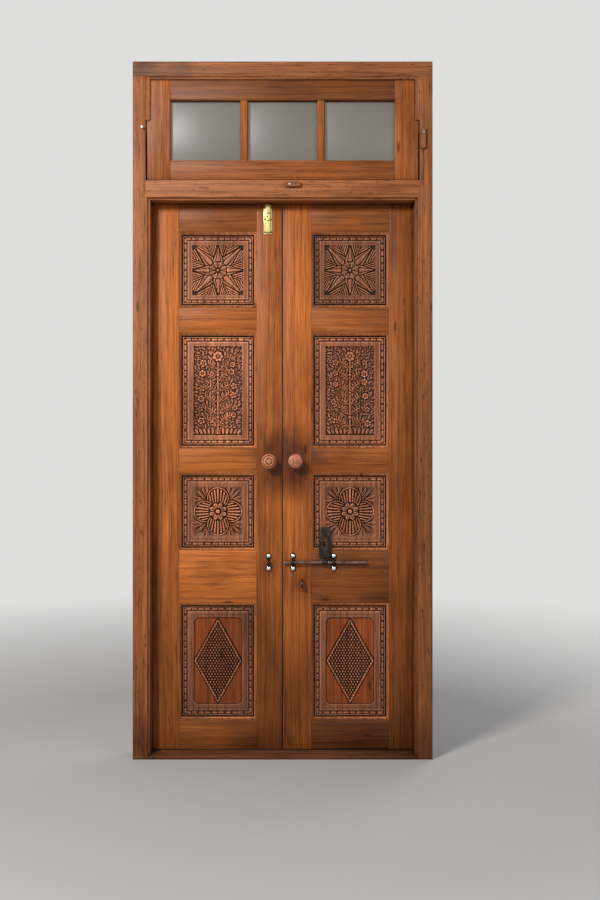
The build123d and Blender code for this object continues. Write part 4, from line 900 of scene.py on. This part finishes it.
def carve_lattice(x, z, draw):
    """A diamond of lozenges with a raised rim and a narrow moat, all of it regular."""
    heights = np.full_like(x, LATTICE_GROUND)
    first = (x / LATTICE_SIDE + z / LATTICE_END + 1) / 2
    second = (z / LATTICE_END - x / LATTICE_SIDE + 1) / 2
    edge = np.minimum(np.minimum(first, 1 - first), np.minimum(second, 1 - second))
    reach = np.maximum(*(abs(way * LOZENGES % 1 - 0.5) * 2 for way in (first, second)))
    lozenge = GROUND + 0.5 + 9 * np.sqrt(limited((1 - reach) * 2.3 - 0.5))
    inside = edge > 0
    heights[inside] = lozenge[inside]
    heights[inside & (edge < LATTICE_RIM)] = GROUND + 10.5
    heights[(edge < 0) & (edge > -LATTICE_MOAT)] = GROUND
    return heights


# %% [markdown]
# ## From height map to board
# A height map alone is a sheet with no thickness. Each panel also has its sides and its flat back,
# which are seen from behind. The same map tells how sunken a point is compared with its
# neighbourhood, and the material paints shade into the sunken points and highlights onto the high
# ones.


# %% The face of a panel, as heights and shades
MOTIFS = {
    "star": (carve_star, 101, 99, 2, 4),
    "floral": (carve_plant, 97, 176, 2, 5),
    "rosette": (carve_rosette, 104, 104, 20, 26),
    "lattice": (carve_lattice, 96, 171, 24, 2.2),
}
WEAR_DEPTH = 0.5
MARGIN_SHADE = 0.26
MARGIN_WIDTH = 8


def worn_surface(shape, seed):
    """The small unevenness of an old surface."""
    noise = np.random.default_rng(seed).normal(0, 1, shape)
    for _ in range(3):
        for axis in (0, 1):
            noise = (noise + np.roll(noise, 1, axis) + np.roll(noise, -1, axis)) / 3
    return noise * WEAR_DEPTH


def panel_heights(x, z, size, leaf, motif):
    """A panel's heights, and how far each point is inside its sunk and sloped field."""
    carve, half_width, half_height, corner, slope = MOTIFS[motif]
    seed = sum(map(ord, leaf + motif))
    heights = bead_row_height(x, z, *size, seed)
    depth = field_depth(x, z, half_width, half_height, corner)
    cut = smooth_step(depth, 0, slope)
    carved = np.minimum(carve(x, z, random.Random(seed)), 1)
    field = depth > 0
    heights[field] = (heights * (1 - cut) + carved * cut)[field]
    return heights + worn_surface(heights.shape, seed), depth


def panel_shades(heights, depth, motif):
    """How far each point lies below its neighbours, and where the wood is warmer."""
    average = heights
    for axis in (0, 1):
        average = sum(np.roll(average, shift, axis) for shift in range(-4, 5)) / 9
    hollow = limited(0.31 + (average - heights) / 6.5 - heights / 48)
    margin = (depth <= 0) & (depth >= -MARGIN_WIDTH)
    hollow[margin] = np.maximum(hollow, MARGIN_SHADE)[margin]
    warmth = (depth > 0) & (abs(heights - LATTICE_GROUND) < 0.8) & (motif == "lattice")
    return {"hollow": hollow, "warmth": warmth}


# %% Build the panels
PANEL_BACK_Y = 47
PANEL_PLAY = 0.5
BOX_SET_BACK = 1
BOX_SHADE = 0.3
CARVING_ANGLE = 75


def carved_panel(leaf, motif, tone):
    """The carved board of one panel, in place: its face, and a box behind it."""
    sides, levels = PANEL_SIDES[leaf], OPENINGS[motif]
    size = sides[1] - sides[0], levels[1] - levels[0]
    x, z = panel_grid(*size)
    heights, depth = panel_heights(x, z, size, leaf, motif)
    middle_x, middle_z = sum(sides) / 2, sum(levels) / 2
    front = np.stack([x + middle_x, PANEL_FRONT_Y - heights, z + middle_z], -1).reshape(-1, 3)
    index = np.arange(heights.size).reshape(heights.shape)
    quads = np.stack([index[:-1, :-1], index[:-1, 1:], index[1:, 1:], index[1:, :-1]], -1)
    left, right = sides[0] + PANEL_PLAY, sides[1] - PANEL_PLAY
    low, high = levels[0] + PANEL_PLAY, levels[1] - PANEL_PLAY
    outline = [(left, low), (right, low), (right, high), (left, high)]
    box = [(px, y, pz) for y in (PANEL_FRONT_Y + BOX_SET_BACK, PANEL_BACK_Y) for px, pz in outline]
    start = heights.size
    faces = quads.reshape(-1, 4).tolist() + bridge(start + 4, start, 4)
    faces.append((start + 7, start + 6, start + 5, start + 4))
    mesh = mesh_from(f"{leaf}_{motif}_carving", np.concatenate([front, box]), faces)
    set_grain(mesh, "z", tone, leaf + motif)
    for name, shades in panel_shades(heights, depth, motif).items():
        carry(mesh, name, np.append(shades.ravel(), [BOX_SHADE] * len(box)))
    return finish_piece(mesh, carved_teak, f"{leaf}_{motif}_panel", CARVING_ANGLE)


PANEL_TONES = {"left": (1.02, 1.28, 1, 0.96), "right": (0.6, 0.98, 0.94, 1.08)}
for leaf, tones in PANEL_TONES.items():
    for motif, tone in zip(MOTIFS, tones):
        panel = carved_panel(leaf, motif, tone)
        print(panel.name, "faces", len(panel.data.polygons))

# %% [markdown]
# ## Turned knobs
# Each leaf has a wooden pull knob: a collar, a waist and a flattened ball with fine rings cut in
# its face. It could be sculpted, but a profile spun round its axis is what the lathe did.


# %% A helper that spins a profile
def spin(profile, sides, centre, outward=(0, -1, 0), wobble=None):
    """Points and faces of distances and radii that are spun about a level axis."""
    axis = Vector(outward)
    right = Vector((0, 0, 1)).cross(axis)
    up = axis.cross(right)
    points, faces = [], []
    for distance, radius in profile:
        for step in range(sides):
            turn = 2 * math.pi * step / sides
            reach = radius * (wobble(distance, turn) if wobble else 1)
            point = Vector(centre) + axis * distance
            point += right * (reach * math.cos(turn)) + up * (reach * math.sin(turn))
            points.append(tuple(point))
    last = (len(profile) - 1) * sides
    for ring in range(0, last, sides):
        faces += bridge(ring, ring + sides, sides)
    faces += [tuple(reversed(range(sides))), tuple(range(last, last + sides))]
    return points, faces


# %% The two knobs
LEAF_FRONT_Y = 15
KNOB_HEIGHT = 1142
KNOB_SIDES = 48
KNOB_PROFILE = [
    (0, 14.2), (2, 16.6), (4.2, 17.1), (6.4, 15.6), (8.2, 13), (12, 11.8), (17, 12),
    (21, 14.6), (24, 19.2), (27.5, 23.6), (31.5, 26.8), (35.4, 28.3), (39.5, 28.4),
    (42.6, 27.2), (44.4, 25.6), (45.2, 24), (43.4, 22.6), (43.2, 21.6), (45.6, 20.6),
    (47, 18.4), (47.8, 15.6), (47.8, 13.6), (45.6, 12.4), (45.4, 11.4), (47.8, 10.2),
    (49.6, 7.8), (50.6, 5), (50.9, 3.4), (50, 3), (50, 0.4),
]
GROOVE_RINGS = (16, 17, 22, 23)
WORN_PROFILE = [point for ring, point in enumerate(KNOB_PROFILE) if ring not in GROOVE_RINGS]
KNOB_SCREW_PROFILE = [(50, 2.9), (51.2, 2.7), (51.6, 1.6)]


def chipped(distance, turn):
    """The right knob has lost a flake at its lower right edge."""
    bite = math.exp(-(((turn - 4) / 0.35) ** 2)) * smooth_step(distance, 34, 44)
    return 1 - 0.22 * float(bite)


KNOBS = {
    "left": (-53, KNOB_PROFILE, GROOVE_RINGS, None),
    "right": (50, WORN_PROFILE, (), chipped),
}
for leaf, (knob_x, profile, dark_rings, wobble) in KNOBS.items():
    centre = (knob_x, LEAF_FRONT_Y, KNOB_HEIGHT)
    mesh = mesh_from(f"{leaf}_turned_knob", *spin(profile, KNOB_SIDES, centre, wobble=wobble))
    # The rings cut in the left knob's face are painted with shade (tone 0.3).
    ring_tones = [0.3 if ring in dark_rings else 1.3 for ring in range(len(profile))]
    set_grain(mesh, "y", np.repeat(ring_tones, KNOB_SIDES), leaf + "knob")
    finish_piece(mesh, turned_teak, f"{leaf}_knob", 50)
    # The screw is of the same steel as the hinges of its leaf.
    mesh = mesh_from(f"{leaf}_knob_screw", *spin(KNOB_SCREW_PROFILE, 16, centre))
    finish_piece(mesh, steel, f"{leaf}_hinge_flaps", added=True)
print("knobs at", KNOB_HEIGHT)

# %% [markdown]
# ## The sliding latch
# A round iron rod slides in three straps, each held by two big domed studs, and a slotted hasp
# hangs from it. The straps, the hasp and the staple are right as solids once their edges are
# eased. The rod is slightly uneven, as hammered iron is, and the studs are spun domes.

# %% Straps, hasp and staple, and the rod with its two collars
LATCH_HEIGHT = 748
ROD_Y = 1
ROD_START = 4
ROD_LENGTH = 325
ROD_RADIUS = 6
ROD_STEP = 5
ROD_SIDES = 24
HASP_OPEN_X = 164
COLLAR_STARTS = (-17.5, 12.5)
COLLAR_PROFILE = [(0, 6), (0.6, 8.4), (2.5, 9), (4.4, 8.4), (5, 6)]

for node in ("left_latch_straps", "right_latch_straps", "hasp", "padlock_staple"):
    ease(node, 0.6, iron)


def hammered(distance, turn):
    """The unevenness of a forged rod."""
    return 0.99 + 0.007 * math.sin(distance * 0.11 + 2 * turn) - 0.003 * math.cos(distance * 0.23)


rod_profile = [(0, 3.6), (1.2, 5.2), (3, 5.9)]
rod_profile += [(3 + step * ROD_STEP, ROD_RADIUS) for step in range(1, 64)]
rod_profile += [(ROD_LENGTH - 2, 5.6), (ROD_LENGTH - 0.6, 4.6), (ROD_LENGTH, 3.2)]
along_rod = (1, 0, 0)
spun = [spin(rod_profile, ROD_SIDES, (ROD_START, ROD_Y, LATCH_HEIGHT), along_rod, hammered)]
for start in COLLAR_STARTS:
    centre = (HASP_OPEN_X + start, ROD_Y, LATCH_HEIGHT)
    spun.append(spin(COLLAR_PROFILE, ROD_SIDES, centre, along_rod))
mesh = mesh_from("latch_rod_forged", *joined(spun))
finish_piece(mesh, rod_iron, "latch_rod", 50)
print("latch at", LATCH_HEIGHT)

# %% The studs of the straps, dark round their foot and bright on top
STUD_SIDES = 28
STUD_OFFSETS = (-24.5, 24.5)
STUD_PLACES = {"left": (-55,), "right": (40, 199)}
STRAP_THICKNESS = 3
STUD_PROFILE = [
    (0, 10.2), (0.5, 10.6), (1.1, 10.5), (1.5, 9.7), (1.9, 9.2), (2.7, 8.9), (3.9, 8.2),
    (5, 7), (5.9, 5.4), (6.6, 3.4), (6.95, 1.4),
]
BRIGHT_RADIUS = 7.2
ring_tones = [float(distance > 3 and radius < BRIGHT_RADIUS) for distance, radius in STUD_PROFILE]
for leaf, stud_places in STUD_PLACES.items():
    studs = [
        spin(STUD_PROFILE, STUD_SIDES, (x, LEAF_FRONT_Y - STRAP_THICKNESS, LATCH_HEIGHT + offset))
        for x in stud_places
        for offset in STUD_OFFSETS
    ]
    mesh = mesh_from(f"{leaf}_domed_studs", *joined(studs))
    set_grain(mesh, "y", np.tile(np.repeat(ring_tones, STUD_SIDES), len(studs)), leaf + "stud")
    finish_piece(mesh, stud_iron, f"{leaf}_latch_studs", 40)
    print(leaf, "studs", len(studs))

# %% [markdown]
# ## The meeting edges
# Two leaves that open either way round need a running gap between them. Left open it would be a
# line of daylight, so each leaf carries a thin near-black strip at the back of its meeting edge,
# which paints the shade of the gap.
# The strips stop just short of each other, and are short enough from front to back to pass.

# %% The two strips that paint the gap's shade
STRIP_REACH = (0.06, 2)
STRIP_DEPTHS = (49.8, 54.8)
STRIP_HEIGHTS = (15, 2156.5)
CHAMFER = (0.5, 0.8)
for leaf, side in (("left", -1), ("right", 1)):
    inner, outer = (side * reach for reach in STRIP_REACH)
    cut_in = side * (STRIP_REACH[0] + CHAMFER[0])
    near_y, far_y = STRIP_DEPTHS
    outline = [
        (inner, near_y + CHAMFER[1]), (inner, far_y - CHAMFER[1]), (cut_in, far_y),
        (outer, far_y), (outer, near_y), (cut_in, near_y),
    ]
    points = [(x, y, z) for z in STRIP_HEIGHTS for x, y in outline]
    count = len(outline)
    faces = bridge(0, count, count)
    faces += [tuple(reversed(range(count))), tuple(range(count, 2 * count))]
    if side > 0:
        faces = [tuple(reversed(face)) for face in faces]
    mesh = mesh_from(f"{leaf}_edge_strip", points, faces)
    finish_piece(mesh, gap_shade_black, f"{leaf}_meeting_stile", added=True)
print("edge strips", STRIP_REACH)

# %% [markdown]
# ## The brass tower bolt
# It is at the top of the left leaf: a plate with a cased bolt and a little knob. It could be
# built again, but with eased edges the solids catch the light, and six screws hold the plate.

# %% Tower bolt
PLATE_THICKNESS = 2
SCREW_INSET = 4.2
SCREW_ENDS = (8, 12)
SCREW_PROFILE = [(-0.3, 3.2), (0.5, 3.2), (1, 2.6), (1.3, 1.2)]
ease("tower_bolt_plate", 0.5, brass)
ease("tower_bolt", 0.4, brass)
plate_box = [Vector(corner) / MM for corner in frame["nodes"]["tower_bolt_plate"].bound_box]
low, high = plate_box[0], plate_box[6]
screw_heights = (low.z + SCREW_ENDS[0], (low.z + high.z) / 2, high.z - SCREW_ENDS[1])
screws = [
    spin(SCREW_PROFILE, 16, (x, LEAF_FRONT_Y - PLATE_THICKNESS, z))
    for x in (low.x + SCREW_INSET, high.x - SCREW_INSET)
    for z in screw_heights
]
mesh = mesh_from("tower_bolt_screws", *joined(screws))
finish_piece(mesh, iron, "tower_bolt_plate", added=True)
print("plate screws", len(screws))

# %% [markdown]
# ## Turn-buttons, screws, pivots and hinges
# The small fittings could be made again in detail. Eased copies of the solids are enough,
# because what the eye notices on them is the light on their corners.

# %% Small fittings
STEEL_FITTINGS = (
    "button_screws", "hinge_frame_flaps", "left_hinge_flaps", "right_hinge_flaps",
    "pivot_sockets", "pivot_pins",
)
ease("transom_button", 1, frame_teak, "x", 0.8)
ease("jamb_button", 1, frame_teak, "z", 0.8)
for node in STEEL_FITTINGS:
    ease(node, 0.3, steel)
ease("glazing_beads", 0.5, teak, "x", 0.9)
for pane in ("left_pane", "middle_pane", "right_pane"):
    ease(pane, 0.4, glass)
print("steel fittings", len(STEEL_FITTINGS))

# %% [markdown]
# ## Floor and light
# In the picture the light falls from the upper left, so the lower right is the darkest corner.
# A strong lamp there, a weak and wide one from the right and a pale surrounding give that fall
# without hard shadows, and a third lamp lights the back. The edge of the plain floor could show
# as a line, so the floor fades into the background's colour, for the camera only.

# %% Floor
BACKGROUND = (0.74, 0.735, 0.73, 1)
FLOOR_REACH = 9000
FLOOR_LEVEL = -0.5
floor_points = [
    (x * FLOOR_REACH, y * FLOOR_REACH, FLOOR_LEVEL) for x, y in [(-1, -1), (1, -1), (1, 1), (-1, 1)]
]
floor = placed("floor", mesh_from("floor", floor_points, [(0, 1, 2, 3)]))
floor_material, tree, shader = new_material(
    "pale_floor", base_color=(0.52, 0.51, 0.49, 1), roughness=0.8, specular_ior_level=0.2
)
floor_place = wire(tree, "TexCoord")["Object"]
from_door = wire(tree, "VectorMath", {0: floor_place}, operation="LENGTH")["Value"]
for_camera = wire(tree, "LightPath")["Is Camera Ray"]
fade = math_node(tree, "MULTIPLY", remap(tree, from_door, 1.2, 4), for_camera)
haze = wire(tree, "Emission", {"Color": BACKGROUND, "Strength": 1})
floor_mix = wire(tree, "MixShader", {0: fade, 1: shader.outputs[0], 2: haze[0]})
tree.links.new(floor_mix[0], tree.nodes["Material Output"].inputs["Surface"])
floor.data.materials.append(floor_material)
print("floor", FLOOR_REACH)

# %% Lamps, by place, height aimed at, width, power and colour
LAMPS = [
    ("key", (-1.95, -3, 3.4), 1.2, 0.8, 140, (1, 0.98, 0.95)),
    ("fill", (2.9, -3.4, 2.6), 1.3, 2, 22, (0.95, 0.97, 1)),
    ("back", (2.6, 3, 1.8), 1, 2, 40, (1, 1, 1)),
]
for name, place, aim, width, power, colour in LAMPS:
    lamp = placed(name, bpy.data.lights.new(name, "AREA"))
    lamp.data.size, lamp.data.energy, lamp.data.color = width, power, colour
    lamp.location = place
    lamp.rotation_euler = (Vector((0, 0, aim)) - lamp.location).to_track_quat("-Z", "Y").to_euler()
print("lamps", len(LAMPS))

# %% Surroundings
world = bpy.data.worlds.new("surroundings")
bpy.context.scene.world = world
world.use_nodes = True
tree = world.node_tree
tree.nodes.clear()
paths = wire(tree, "LightPath")
seen = math_node(tree, "MAXIMUM", paths["Is Camera Ray"], paths["Is Transmission Ray"])
seen = math_node(tree, "MAXIMUM", seen, paths["Is Glossy Ray"])
soft = wire(tree, "Background", {"Color": (0.9, 0.92, 1, 1), "Strength": 0.3})
pale = wire(tree, "Background", {"Color": BACKGROUND, "Strength": 1})
chosen = wire(tree, "MixShader", {0: seen, 1: soft[0], 2: pale[0]})
wire(tree, "OutputWorld", {"Surface": chosen[0]})
bpy.context.scene.view_settings.view_transform = "Standard"
print("background", BACKGROUND[:3])

# %% [markdown]
# ## Sizes
# The visual model must keep the real sizes.

# %% Update the scene
bpy.context.view_layer.update()
